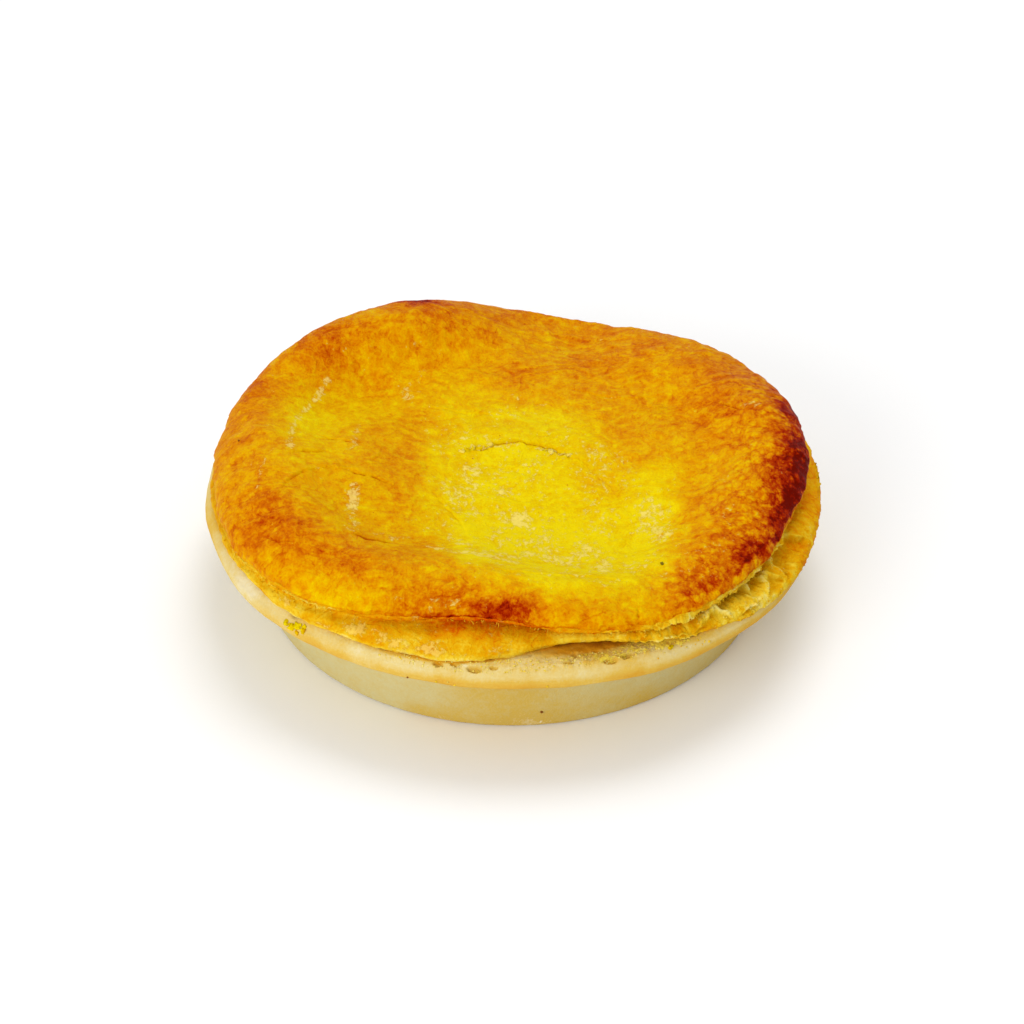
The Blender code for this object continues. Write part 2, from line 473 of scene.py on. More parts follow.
@dataclass(frozen=True)
class LidForm:
    """The broad form of the lid, which the oven pushed out of round.

    Swells are (angle, half width in degrees, amount), and humps are (x, y, half width along x, half
    width along y, height), in millimetres.
    """

    lid_radius: float = 57.5 * MM
    lower_leaf_radius: float = 58.2 * MM
    lip_height: float = 26.6 * MM
    crest_height: float = 30.2 * MM
    floor_height: float = 26.2 * MM
    crest_part: float = 0.84
    inner_slope: float = 15.0 * MM
    groove_depth: float = 0.8 * MM
    groove_level: float = 0.62
    groove_width: float = 0.15
    side_bulge: float = 0.9 * MM
    foot_inset: float = 0.4 * MM
    tear_depth: float = 0.45 * MM
    tears: Sequence[Grain] = (
        Grain(1, 6 * MM, 3, 1), Grain(0.35, 2.4 * MM, 2, 2), Grain(0.42, 0.8 * MM, 2, 4),
    )
    lip_wave: Grain = Grain(0.35 * MM, 8.0 * MM, 3, 3.0)
    crest_swells: Swells = (
        (124, 26, 4), (154, 20, -0.6), (76, 24, -6), (36, 12, -1.1), (4, 22, 2.4), (195, 34, 1),
        (302, 14, -1.2),
    )
    crest_share_swells: Swells = ((2, 22, 0.05), (152, 17, 0.09))
    lid_swells: Swells = (
        (263, 19.5, -6.6), (212, 18, 2), (300, 10, 1), (338, 12, -1), (8, 14, -0.3), (72, 19, -2.2),
    )
    lower_leaf_swells: Swells = (
        (281, 14, -5.3), (330, 28, 2.7), (322, 12, 0.5), (0, 20, 0.6), (226, 9, 1),
    )
    foot_drop_swells: Swells = ((328, 27, 1.5),)
    lip_swells: Swells = (
        (128, 32, 1.8), (76, 24, -2.2), (5, 24, 1.7), (270, 30, 0.4),
    )
    groove_swells: Swells = ((266, 26, 2.6), (325, 26, 2.2))
    humps: Humps = (
        (-33, -8, 15, 21, 4.2), (-15, -33, 15, 9, 1.2), (11, -24, 19, 15, -1.6), (-30, 29, 7, 14, -1.4),
        (38, 2, 12, 24, 1.8), (1, 7.5, 13, 6, 0.9),
    )

    def radius(self, angle: Array) -> Array:
        """The lip's distance from the axis."""
        return self.lid_radius + MM * swelling(angle, self.lid_swells)

    def lip(self, angle: Array) -> Array:
        """The lip's height."""
        return self.lip_height + MM * swelling(angle, self.lip_swells)

    def lip_tear(self, angle: Array) -> tuple:
        """How far the ragged lip stands out of its smooth line, and how far it rises and falls."""
        arc = round_path(angle, self.lid_radius)
        return self.tear_depth * layered(arc, self.tears), self.lip_wave.at(arc)

    def crest_share(self, angle: Array) -> Array:
        """How far out the raised ring's crest lies, as a share of the lip's distance."""
        return self.crest_part + swelling(angle, self.crest_share_swells)

    def height(self, radius: Array, angle: Array) -> Array:
        """The top surface: a rolled ring round a sunken floor, with humps and hollows on it."""
        edge = self.radius(angle)
        crest_radius = edge * self.crest_share(angle)
        crest = self.crest_height + MM * swelling(angle, self.crest_swells)
        lip = self.lip(angle)
        inward = unit((crest_radius - radius) / self.inner_slope)
        outward = unit((radius - crest_radius) / (edge - crest_radius))
        floor_side = self.floor_height + (crest - self.floor_height) * 0.5 * (1.0 + np.cos(np.pi * inward))
        lip_side = lip + (crest - lip) * np.sqrt(1.0 - outward**2)
        inner = radius < crest_radius
        turn = np.radians(angle)
        relief = MM * humps_at(radius * np.cos(turn) / MM, radius * np.sin(turn) / MM, self.humps)
        return np.where(inner, floor_side, lip_side) + relief * np.where(inner, 1.0, 1.0 - outward**2)

    def edge(self, level: Array, angle: Array) -> tuple:
        """The lid's outer side, from the flange at level 0 to the lip at level 1.

        Args:
            level: How far up the side.
            angle: Angles in degrees.

        Returns:
            The distance from the axis and the height.
        """
        foot = LID_FOOT - MM * swelling(angle, self.foot_drop_swells)
        height = foot + (self.lip(angle) - foot) * level
        leaf = self.lower_leaf_radius + MM * swelling(angle, self.lower_leaf_swells)
        blend = 0.5 - 0.5 * np.cos(np.pi * level)
        bulge = self.side_bulge * np.sin(np.pi * np.minimum(level / self.groove_level, 1.0)) - self.foot_inset
        groove = (self.groove_depth + MM * swelling(angle, self.groove_swells)) * self.in_groove(level)
        return leaf + (self.radius(angle) - leaf) * blend + bulge - groove, height

    def in_groove(self, level: Array) -> Array:
        """How far into the groove between the leaves each level is, from 0 to 1."""
        return bell(level, self.groove_level, self.groove_width)


FORM = LidForm()


# ---------------------------------------------------------------- shared finishes

# How bright a white surface looks under the studio's light.
LIGHT_LEVEL = 1.15


def baked(red: int, green: int, blue: int) -> Colour:
    """A colour as it looks under the studio's light, turned into the values that a shader takes."""
    def linear(value: int) -> float:
        """One channel, from 0 to 255."""
        share = value / 255.0
        return (share / 12.92 if share <= 0.04045 else ((share + 0.055) / 1.055) ** 2.4) / LIGHT_LEVEL

    return linear(red), linear(green), linear(blue)


class NodeTable:
    """Adds nodes to one tree and joins them as it goes."""

    def __init__(self, tree: Tree) -> None:
        """Keeps the tree."""
        self.tree = tree

    def put(self, kind: str, inputs: dict | None = None, **settings) -> bpy.types.Node:
        """Adds a node.

        Args:
            kind: The node's type.
            inputs: Values or sockets for its inputs, by name or by number.
            settings: The node's own settings.

        Returns:
            The node.
        """
        node = self.tree.nodes.new(kind)
        for name, value in settings.items():
            setattr(node, name, value)
        for name, value in (inputs or {}).items():
            if isinstance(value, Socket):
                self.tree.links.new(value, node.inputs[name])
            else:
                node.inputs[name].default_value = value
        return node

    def calc(
        self, operation: str, first: Socket | float, second: Socket | float = 0.0, third: Socket | float = 0.0
    ) -> Socket:
        """One step of arithmetic."""
        return self.put("ShaderNodeMath", {0: first, 1: second, 2: third}, operation=operation).outputs[0]

    def tint(self, share: Socket, under: Socket, over: Colour) -> Socket:
        """Lays a share of a colour over another."""
        inputs = {0: share, 6: under, 7: (*over, 1.0)}
        return self.put("ShaderNodeMix", inputs, data_type="RGBA", clamp_factor=True).outputs[2]

    def spread(self, value: Socket, low: float, high: float) -> Socket:
        """Maps a range softly to 0 to 1, without running over."""
        inputs = {"Value": value, "From Min": low, "From Max": high}
        return self.put("ShaderNodeMapRange", inputs, interpolation_type="SMOOTHSTEP").outputs[0]

    def vector(self, operation: str, first: Socket, second: Socket | Sequence[float]) -> Socket:
        """One step of arithmetic on coordinates."""
        return self.put("ShaderNodeVectorMath", {0: first, 1: second}, operation=operation).outputs[0]

    def cloud(
        self, place: Socket, density: Socket | float, detail: float = 3.0, roughness: float = 0.5
    ) -> bpy.types.Node:
        """Adds fractal noise."""
        inputs = {"Vector": place, "Scale": density, "Detail": detail, "Roughness": roughness}
        return self.put("ShaderNodeTexNoise", inputs)

    def drifted(self, place: Socket, read_at: Socket, density: Socket | float, reach: Socket) -> Socket:
        """Moves coordinates about by soft noise.

        Args:
            place: The coordinates to move.
            read_at: The coordinates that the noise is read at.
            density: How close together its lumps are.
            reach: How far the coordinates move.

        Returns:
            The moved coordinates.
        """
        drift = self.cloud(read_at, density, 2.0).outputs["Color"]
        centred = self.vector("SUBTRACT", drift, (0.5, 0.5, 0.5))
        moved = self.put("ShaderNodeVectorMath", {0: centred, "Scale": reach}, operation="SCALE")
        return self.vector("ADD", place, moved.outputs[0])

    def ramp(self, value: Socket, stops: Scale) -> Socket:
        """Turns a value into a colour by stops of place and colour."""
        node = self.put("ShaderNodeValToRGB", {0: value})
        elements = node.color_ramp.elements
        while len(elements) < len(stops):
            elements.new(0.5)
        for element, (place, colour) in zip(elements, stops):
            element.position = place
            element.color = (*colour, 1.0)
        return node.outputs[0]


class Effects:
    """The effects that several finishes share, each a node group that is built once."""

    def __init__(self) -> None:
        """Builds the groups."""
        self.flow = self._flow()
        self.fibre = self._fibre()
        self.cobbles = self._cobbles()
        self.leaves = self._leaves()
        self.chips = self._chips()
        self.creases = self._creases()
        self.specks = self._specks()

    @staticmethod
    def _group(name: str, numbers: dict[str, float], outputs: Sequence[str]) -> tuple:
        """Starts a group that reads coordinates in millimetres.

        Args:
            name: The group's name.
            numbers: Its other inputs' names and usual values.
            outputs: Its outputs' names; Millimetres is a vector, the others are numbers.

        Returns:
            The group's node table, its coordinates, and its inputs' sockets by name.
        """
        tree = bpy.data.node_groups.new(name, "ShaderNodeTree")
        new_socket = tree.interface.new_socket
        new_socket("Millimetres", in_out="INPUT", socket_type="NodeSocketVector")
        for label, value in numbers.items():
            new_socket(label, in_out="INPUT", socket_type="NodeSocketFloat").default_value = value
        for label in outputs:
            kind = "NodeSocketVector" if label == "Millimetres" else "NodeSocketFloat"
            new_socket(label, in_out="OUTPUT", socket_type=kind)
        table = NodeTable(tree)
        given = table.put("NodeGroupInput").outputs
        return table, given["Millimetres"], given

    @staticmethod
    def _finish(table: NodeTable, results: dict[str, Socket]) -> Tree:
        """Gives a group its results by name and returns it."""
        table.put("NodeGroupOutput", results)
        return table.tree

    def _flow(self) -> Tree:
        """Coordinates that wander like dough that was rolled and pulled, stretched from left to right."""
        table, here, given = self._group("dough_flow", {"Wander": 4.0, "Stretch": 2.0}, ("Millimetres",))
        place = here
        for density, share in ((0.10, 1.0), (0.42, 0.14)):
            reach = table.calc("MULTIPLY", given["Wander"], 2.0 * share)
            place = table.drifted(place, here, density, reach)
        split = table.put("ShaderNodeSeparateXYZ", {0: place}).outputs
        along = table.calc("DIVIDE", split[0], given["Stretch"])
        laid = table.put("ShaderNodeCombineXYZ", {0: along, 1: split[1], 2: split[2]})
        return self._finish(table, {"Millimetres": laid.outputs[0]})

    def _fibre(self) -> Tree:
        """Fine grain: the pulled threads of the dough, with pores between them."""
        table, here, given = self._group("dough_fibre", {"Size": 1.0}, ("Value",))
        grain = table.cloud(here, table.calc("DIVIDE", 1.0, given["Size"]), 5.0, 0.62)
        return self._finish(table, {"Value": table.spread(grain.outputs[0], 0.28, 0.72)})

    def _cobbles(self) -> Tree:
        """Crumbled skin: small rounded lumps, some of them darker, with valleys between them."""
        table, here, given = self._group("crumbled_skin", {"Size": 1.5}, ("Height", "Tone"))
        density = table.calc("DIVIDE", 1.0, given["Size"])
        drift = table.calc("MULTIPLY", density, 1.4)
        reach = table.calc("MULTIPLY", given["Size"], 1.3)
        place = table.drifted(here, here, drift, reach)
        inputs = {"Vector": place, "Scale": density, "Smoothness": 0.35}
        cells = table.put("ShaderNodeTexVoronoi", inputs, feature="SMOOTH_F1")
        height = table.calc("SUBTRACT", 0.42, cells.outputs["Distance"])
        tone = table.put("ShaderNodeSeparateColor", {0: cells.outputs["Color"]}).outputs[0]
        return self._finish(table, {"Height": height, "Tone": table.calc("SUBTRACT", tone, 0.5)})

    def _leaves(self) -> Tree:
        """Overlapping leaves: a level that rises smoothly is cut into plates with torn edges, a painted shade
        line at each plate's foot and a painted highlight on its crest.
        """
        table, here, given = self._group(
            "overlapping_leaves",
            {"Level": 0.0, "Tear": 0.25, "Tear Size": 0.8},
            ("Height", "Tone", "Foot", "Crest"),
        )
        density = table.calc("DIVIDE", 1.0, given["Tear Size"])
        tear = table.cloud(here, density, 3.0, 0.6).outputs[0]
        torn = table.calc("MULTIPLY", table.calc("SUBTRACT", tear, 0.5), given["Tear"])
        gaps = table.cloud(here, 0.45, 2.0).outputs[0]
        shown = table.spread(gaps, 0.46, 0.60)
        level = table.calc("ADD", given["Level"], torn)
        rest = table.calc("FRACT", level)
        plate = table.calc("FLOOR", level)
        # Foot is a painted shade line at each plate's foot, and Crest a painted highlight just past its rise.
        foot = table.calc("SUBTRACT", 1.0, table.spread(table.calc("PINGPONG", level, 0.5), 0.0, 0.16))
        return self._finish(table, {
            "Height": table.calc("SUBTRACT", table.spread(rest, 0.0, 0.12), rest),
            "Tone": table.put("ShaderNodeTexWhiteNoise", {"W": plate}, noise_dimensions="1D").outputs[0],
            "Foot": table.calc("MULTIPLY", foot, shown),
            "Crest": table.calc("SUBTRACT", table.spread(rest, 0.06, 0.14), table.spread(rest, 0.18, 0.55)),
        })

    def _chips(self) -> Tree:
        """Dry pale chips where the wash missed or a leaf flaked off; their pale tint also stands in for
        painted glints on blistered flakes.
        """
        table, here, given = self._group("dry_chips_and_glints", {"Size": 1.6, "Cover": 0.3}, ("Mask",))
        density = table.calc("DIVIDE", 1.0, given["Size"])
        fine = table.cloud(here, density, 5.0, 0.68).outputs[0]
        broad = table.cloud(here, table.calc("MULTIPLY", density, 0.23), 2.0).outputs[0]
        both = table.calc("ADD", table.calc("MULTIPLY", fine, 0.68), table.calc("MULTIPLY", broad, 0.32))
        low = table.calc("SUBTRACT", 0.66, table.calc("MULTIPLY", given["Cover"], 0.22))
        return self._finish(table, {"Mask": table.spread(table.calc("SUBTRACT", both, low), 0.0, 0.08)})

    def _creases(self) -> Tree:
        """Short broken cracks between plates of crust."""
        numbers = {"Size": 4.0, "Width": 0.05, "Share": 0.4}
        table, here, given = self._group("fine_creases", numbers, ("Mask",))
        density = table.calc("DIVIDE", 1.0, given["Size"])
        inputs = {"Vector": here, "Scale": density}
        cells = table.put("ShaderNodeTexVoronoi", inputs, feature="DISTANCE_TO_EDGE")
        line = table.calc("SUBTRACT", 1.0, table.calc("DIVIDE", cells.outputs["Distance"], given["Width"]))
        gaps = table.cloud(here, table.calc("MULTIPLY", density, 0.9), 3.0, 0.6).outputs[0]
        low = table.calc("SUBTRACT", 0.72, table.calc("MULTIPLY", given["Share"], 0.4))
        open_here = table.spread(table.calc("SUBTRACT", gaps, low), 0.0, 0.08)
        return self._finish(table, {"Mask": table.calc("MULTIPLY", table.spread(line, 0.0, 1.0), open_here)})

    def _specks(self) -> Tree:
        """Small dark specks, thinly scattered."""
        numbers = {"Spacing": 3.0, "Size": 0.07, "Share": 0.3}
        table, here, given = self._group("dark_specks", numbers, ("Mask",))
        density = table.calc("DIVIDE", 1.0, given["Spacing"])
        cells = table.put("ShaderNodeTexVoronoi", {"Vector": here, "Scale": density})
        near = table.calc("LESS_THAN", cells.outputs["Distance"], given["Size"])
        colour = table.put("ShaderNodeSeparateColor", {0: cells.outputs["Color"]}).outputs[0]
        chosen = table.calc("LESS_THAN", colour, given["Share"])
        return self._finish(table, {"Mask": table.calc("MULTIPLY", near, chosen)})


def browning_scale(*stops: tuple[float, int, int, int]) -> Scale:
    """A scale from pale to burnt, by stops of place, red, green and blue."""
    return tuple((place, baked(red, green, blue)) for place, red, green, blue in stops)


EGG_WASH = browning_scale(
    (0.00, 243, 217, 6), (0.10, 238, 199, 0), (0.24, 233, 173, 0), (0.37, 226, 146, 0),
    (0.51, 212, 112, 0), (0.71, 180, 54, 0), (0.86, 150, 22, 0), (1.00, 110, 10, 0),
)
SHORTCRUST = browning_scale(
    (0.00, 210, 197, 142), (0.16, 210, 175, 76), (0.26, 237, 224, 184), (0.38, 230, 206, 134),
    (0.52, 224, 184, 78), (0.74, 218, 152, 26), (1.00, 172, 97, 10),
)
SIDE_LEAF = browning_scale(
    (0.00, 248, 228, 124), (0.18, 242, 206, 50), (0.36, 232, 174, 8), (0.54, 224, 138, 0),
    (0.72, 216, 88, 0), (1.00, 156, 44, 0),
)
BURNT = browning_scale((0.0, 160, 98, 36), (0.5, 120, 62, 16), (1.0, 60, 26, 8))
DRIED_HERB = browning_scale((0.0, 170, 140, 20), (0.5, 132, 108, 14), (1.0, 76, 62, 8))


@dataclass(frozen=True)
class PastryFinish:
    """One baked finish: a browning scale with its streaks, leaves, chips, creases and specks.

    Tones are shares of the browning scale, sizes and heights are in millimetres.
    """

    name: str
    scale: Scale
    pale: Colour
    dark: Colour
    sheen: Colour
    roughness: float = 0.6
    gloss: float = 0.12
    stretch: float = 1.0
    mottle: float = 0.3
    contrast: float = 0.5
    close_height: float = 0.1
    fibre_size: float = 0.3
    fibre_tone: float = 0.15
    fibre_height: float = 0.03
    cobble_size: float = 0.6
    cobble_tone: float = 0.1
    cobble_height: float = 0.02
    leaf_tone: float = 0.0
    leaf_height: float = 0.0
    peel_size: float = 2.0
    peel_tone: float = 0.02
    peel_height: float = 0.01
    chip_size: float = 0.6
    chip_cover: float = 0.1
    chip_strength: float = 0.3
    chip_height: float = 0.05
    flake_shine: float = 0.0
    crease_size: float = 1.5
    crease_share: float = 0.1
    crease_depth: float = 0.02
    crack_depth: float = 0.10
    crack_tone: float = 0.26
    speck_spacing: float = 2.0
    speck_share: float = 0.0
    speck_strength: float = 0.7

    def build(self, effects: Effects) -> bpy.types.Material:
        """Makes the material.

        Args:
            effects: The shared effects.

        Returns:
            The material, which reads the values painted as browning, dryness and painted glint, crumble,
            leaves and cracks.
        """
        material = bpy.data.materials.new(self.name)
        material.use_nodes = True
        table = NodeTable(material.node_tree)
        painted = {
            name: table.put("ShaderNodeAttribute", attribute_name=name).outputs["Fac"]
            for name in ("browning", "dryness_and_glint", "crumble", "leaves", "cracks")
        }
        found = self._patterns(table, effects, painted)
        shader = material.node_tree.nodes["Principled BSDF"]
        shader.inputs["Metallic"].default_value = 0.0
        shader.inputs["Specular IOR Level"].default_value = self.gloss
        shader.inputs["Specular Tint"].default_value = (*self.sheen, 1.0)
        shader.inputs["Coat Roughness"].default_value = 0.35
        rough = table.calc("MULTIPLY_ADD", found["chips"], 0.15, self.roughness)
        for name, socket in (
            ("Base Color", self._colour(table, painted["browning"], found)),
            ("Coat Weight", table.calc("MULTIPLY", found["chips"], self.flake_shine)),
            ("Roughness", table.calc("MULTIPLY_ADD", found["fibre"], 0.12, rough)),
            ("Normal", self._bump(table, found)),
        ):
            material.node_tree.links.new(socket, shader.inputs[name])
        return material

    def _patterns(self, table: NodeTable, effects: Effects, painted: dict[str, Socket]) -> dict[str, Socket]:
        """Lays the patterns that the colour and the relief share.

        Args:
            table: The material's node table.
            effects: The shared effects.
            painted: The painted values by name.

        Returns:
            Each pattern's socket by name.
        """
        def effect(group: Tree, **values: Socket | float) -> bpy.types.NodeOutputs:
            """Places a shared effect and returns its outputs by name."""
            inputs = {name.replace("_", " "): value for name, value in values.items()}
            return table.put("ShaderNodeGroup", inputs, node_tree=group).outputs

        def leaves(level: Socket, tear: float, size: float, name: str) -> dict[str, Socket]:
            """Places overlapping leaves and returns their outputs by name."""
            laid = effect(effects.leaves, Millimetres=flow, Level=level, Tear=tear, Tear_Size=size)
            return {f"{name} {output.name.lower()}": output for output in laid}

        place = table.vector("MULTIPLY", table.put("ShaderNodeTexCoord").outputs["Object"], (1.0 / MM,) * 3)
        flow = effect(effects.flow, Millimetres=place, Wander=3.0, Stretch=self.stretch)[0]
        still = effect(effects.flow, Millimetres=place, Wander=1.2, Stretch=self.stretch * 0.8)[0]
        fibre = effect(effects.fibre, Millimetres=still, Size=self.fibre_size)[0]
        cobbles = effect(effects.cobbles, Millimetres=still, Size=self.cobble_size)
        cover = table.calc("ADD", painted["dryness_and_glint"], self.chip_cover)
        peeled = table.calc("MULTIPLY", table.cloud(flow, 1.0 / self.peel_size, 1.0).outputs[0], 4.0)
        ragged = table.calc("ADD", painted["cracks"], table.calc("MULTIPLY", fibre, 0.3))
        creases = effect(effects.creases, Millimetres=still, Size=self.crease_size, Share=self.crease_share)
        specks = effect(effects.specks, Millimetres=place, Spacing=self.speck_spacing, Share=self.speck_share)
        return {
            "fibre": fibre,
            "lumps": table.calc("MULTIPLY", cobbles["Height"], painted["crumble"]),
            "patches": table.calc("MULTIPLY", cobbles["Tone"], painted["crumble"]),
            **leaves(painted["leaves"], 0.9, 1.8, "leaf"),
            **leaves(peeled, 1.6, 2.0, "peel"),
            "chips": effect(effects.chips, Millimetres=still, Size=self.chip_size, Cover=cover)[0],
            "creases": creases[0],
            "specks": specks[0],
            "broad": table.cloud(place, 0.16, 4.0, 0.6).outputs[0],
            "close": table.cloud(still, 0.42, 6.0, 0.70).outputs[0],
            "cracks": table.spread(ragged, 0.45, 0.85),
        }

    def _colour(self, table: NodeTable, browning: Socket, found: dict[str, Socket]) -> Socket:
        """Shifts the painted browning by the patterns and reads the scale there.

        Args:
            table: The material's node table.
            browning: The painted browning.
            found: The patterns by name.

        Returns:
            The colour.
        """
        change = 0.0
        for name, middle, strength in (
            ("broad", 0.5, self.mottle),
            ("close", 0.5, -self.mottle * 1.8),
            ("fibre", 0.5, -self.fibre_tone),
            ("lumps", 0.0, -self.cobble_tone),
            ("patches", 0.0, self.cobble_tone * 0.8),
            ("leaf tone", 0.5, self.leaf_tone * 0.6),
            # Plate feet darken as painted shade, and plate crests pale as painted highlight.
            ("leaf foot", 0.2, self.leaf_tone),
            ("leaf crest", 0.2, -self.leaf_tone * 0.8),
            ("peel tone", 0.5, self.peel_tone * 0.5),
            ("peel foot", 0.2, self.peel_tone),
            ("peel crest", 0.2, -self.peel_tone * 0.8),
        ):
            change = table.calc("MULTIPLY_ADD", table.calc("SUBTRACT", found[name], middle), strength, change)
        livelier = table.calc("MULTIPLY_ADD", browning, self.contrast, 0.8)
        bake = table.calc("MULTIPLY_ADD", change, livelier, browning)
        split = table.calc("MAXIMUM", table.calc("MULTIPLY", found["creases"], 0.55), found["cracks"])
        colour = table.ramp(table.calc("MULTIPLY_ADD", split, self.crack_tone, bake), self.scale)
        # The pale chips are dry flakes, and their pale tint is also a painted glint on the glaze.
        colour = table.tint(table.calc("MULTIPLY", found["chips"], self.chip_strength), colour, self.pale)
        return table.tint(table.calc("MULTIPLY", found["specks"], self.speck_strength), colour, self.dark)

    def _bump(self, table: NodeTable, found: dict[str, Socket]) -> Socket:
        """Adds up the patterns' heights in millimetres.

        Args:
            table: The material's node table.
            found: The patterns by name.

        Returns:
            The normal.
        """
        height = 0.0
        for name, amount in (
            ("close", self.close_height),
            ("fibre", self.fibre_height),
            ("lumps", self.cobble_height),
            ("leaf height", self.leaf_height),
            ("peel height", self.peel_height),
            ("chips", self.chip_height),
            ("creases", -self.crease_depth),
            ("cracks", -self.crack_depth),
        ):
            height = table.calc("MULTIPLY_ADD", found[name], amount, height)
        bump = table.put("ShaderNodeBump", {"Height": height, "Strength": 1.0, "Distance": MM})
        return bump.outputs[0]


GLAZED = PastryFinish(
    name="egg_washed_leaf", scale=EGG_WASH, pale=baked(254, 228, 124), dark=baked(196, 82, 8),
    sheen=(1.0, 0.62, 0.06), roughness=0.44, gloss=0.02, stretch=1.05, mottle=0.26, contrast=1.2,
    close_height=0.40, fibre_size=0.55, fibre_tone=0.10, fibre_height=0.05,
    cobble_size=1.5, cobble_tone=0.22, cobble_height=0.11, leaf_tone=0.05, leaf_height=0.04,
    peel_size=5.0, peel_tone=0.04, peel_height=0.03, chip_size=1.1, chip_cover=0.12, chip_strength=0.52,
    flake_shine=0.35, crease_size=4.2, crease_share=0.22, crease_depth=0.05,
    speck_spacing=2.6, speck_share=0.12,
)
TORN = PastryFinish(
    name="torn_leaf", scale=SIDE_LEAF, pale=baked(252, 214, 104), dark=baked(170, 96, 20),
    sheen=(1.0, 0.75, 0.25), gloss=0.03, stretch=1.1, mottle=0.24,
    close_height=0.20, fibre_size=0.6, fibre_tone=0.12, fibre_height=0.05,
    cobble_size=1.2, cobble_tone=0.12, cobble_height=0.06, peel_size=3.0, peel_tone=0.08, peel_height=0.06,
    chip_size=1.2, chip_strength=0.50, flake_shine=0.10, crease_size=3.0, crease_share=0.3,
    crease_depth=0.08, speck_spacing=3.4, speck_share=0.08,
)
CRUST = PastryFinish(
    name="shortcrust", scale=SHORTCRUST, pale=baked(255, 228, 74), dark=baked(120, 84, 30),
    sheen=(1.0, 0.85, 0.5), roughness=0.66, gloss=0.04, mottle=0.10, contrast=0.3,
    close_height=0.06, fibre_size=0.5, fibre_tone=0.06, fibre_height=0.02,
    cobble_size=1.0, cobble_height=0.04, peel_size=9.0, peel_tone=0.01,
    chip_size=1.0, chip_cover=0.0, chip_strength=0.85, crease_size=6.0, crease_depth=0.04,
    speck_spacing=5.0, speck_share=0.05,
)
BURNT_SPECK = PastryFinish(
    name="burnt_speck", scale=BURNT, pale=baked(120, 60, 20), dark=baked(40, 16, 6), sheen=(1.0, 0.7, 0.4),
)
HERB = PastryFinish(
    name="dried_herb", scale=DRIED_HERB, pale=baked(170, 150, 50), dark=baked(70, 60, 14),
    sheen=(0.8, 0.9, 0.4),
)


# ---------------------------------------------------------------- the upper leaf


@dataclass(frozen=True)
class Crack:
    """A crack in the top: a line on the plan in millimetres, with a lifted leaf to its left."""

    line: Line
    width: float
    depth: float
    lift: float = 0.0
    stain: float = 1.0
    wander: float = 0.35
    leaf_reach: float = 2.4

    def near(self, x: Array, y: Array, wobble: Array) -> tuple:
        """How open the crack is at each place, and how far its left side lifts there."""
        offset, progress = follow(x, y + self.wander * wobble, self.line)
        taper = np.sqrt(unit(np.sin(np.pi * np.clip(progress, 0.02, 0.98))))
        width = self.width * (0.30 + 0.50 * taper) * (1.0 + 0.5 * wobble)
        opening = np.exp(-((offset / width) ** 2)) * (0.4 + 0.6 * taper)
        if self.stain < 1.0:
            opening = opening * smooth(-0.35, 0.15, wobble)
        falling = np.exp(-offset / self.leaf_reach)
        raised = np.where(offset > 0.0, falling * smooth(0.0, 0.5, offset), 0.0)
        return opening, raised * taper


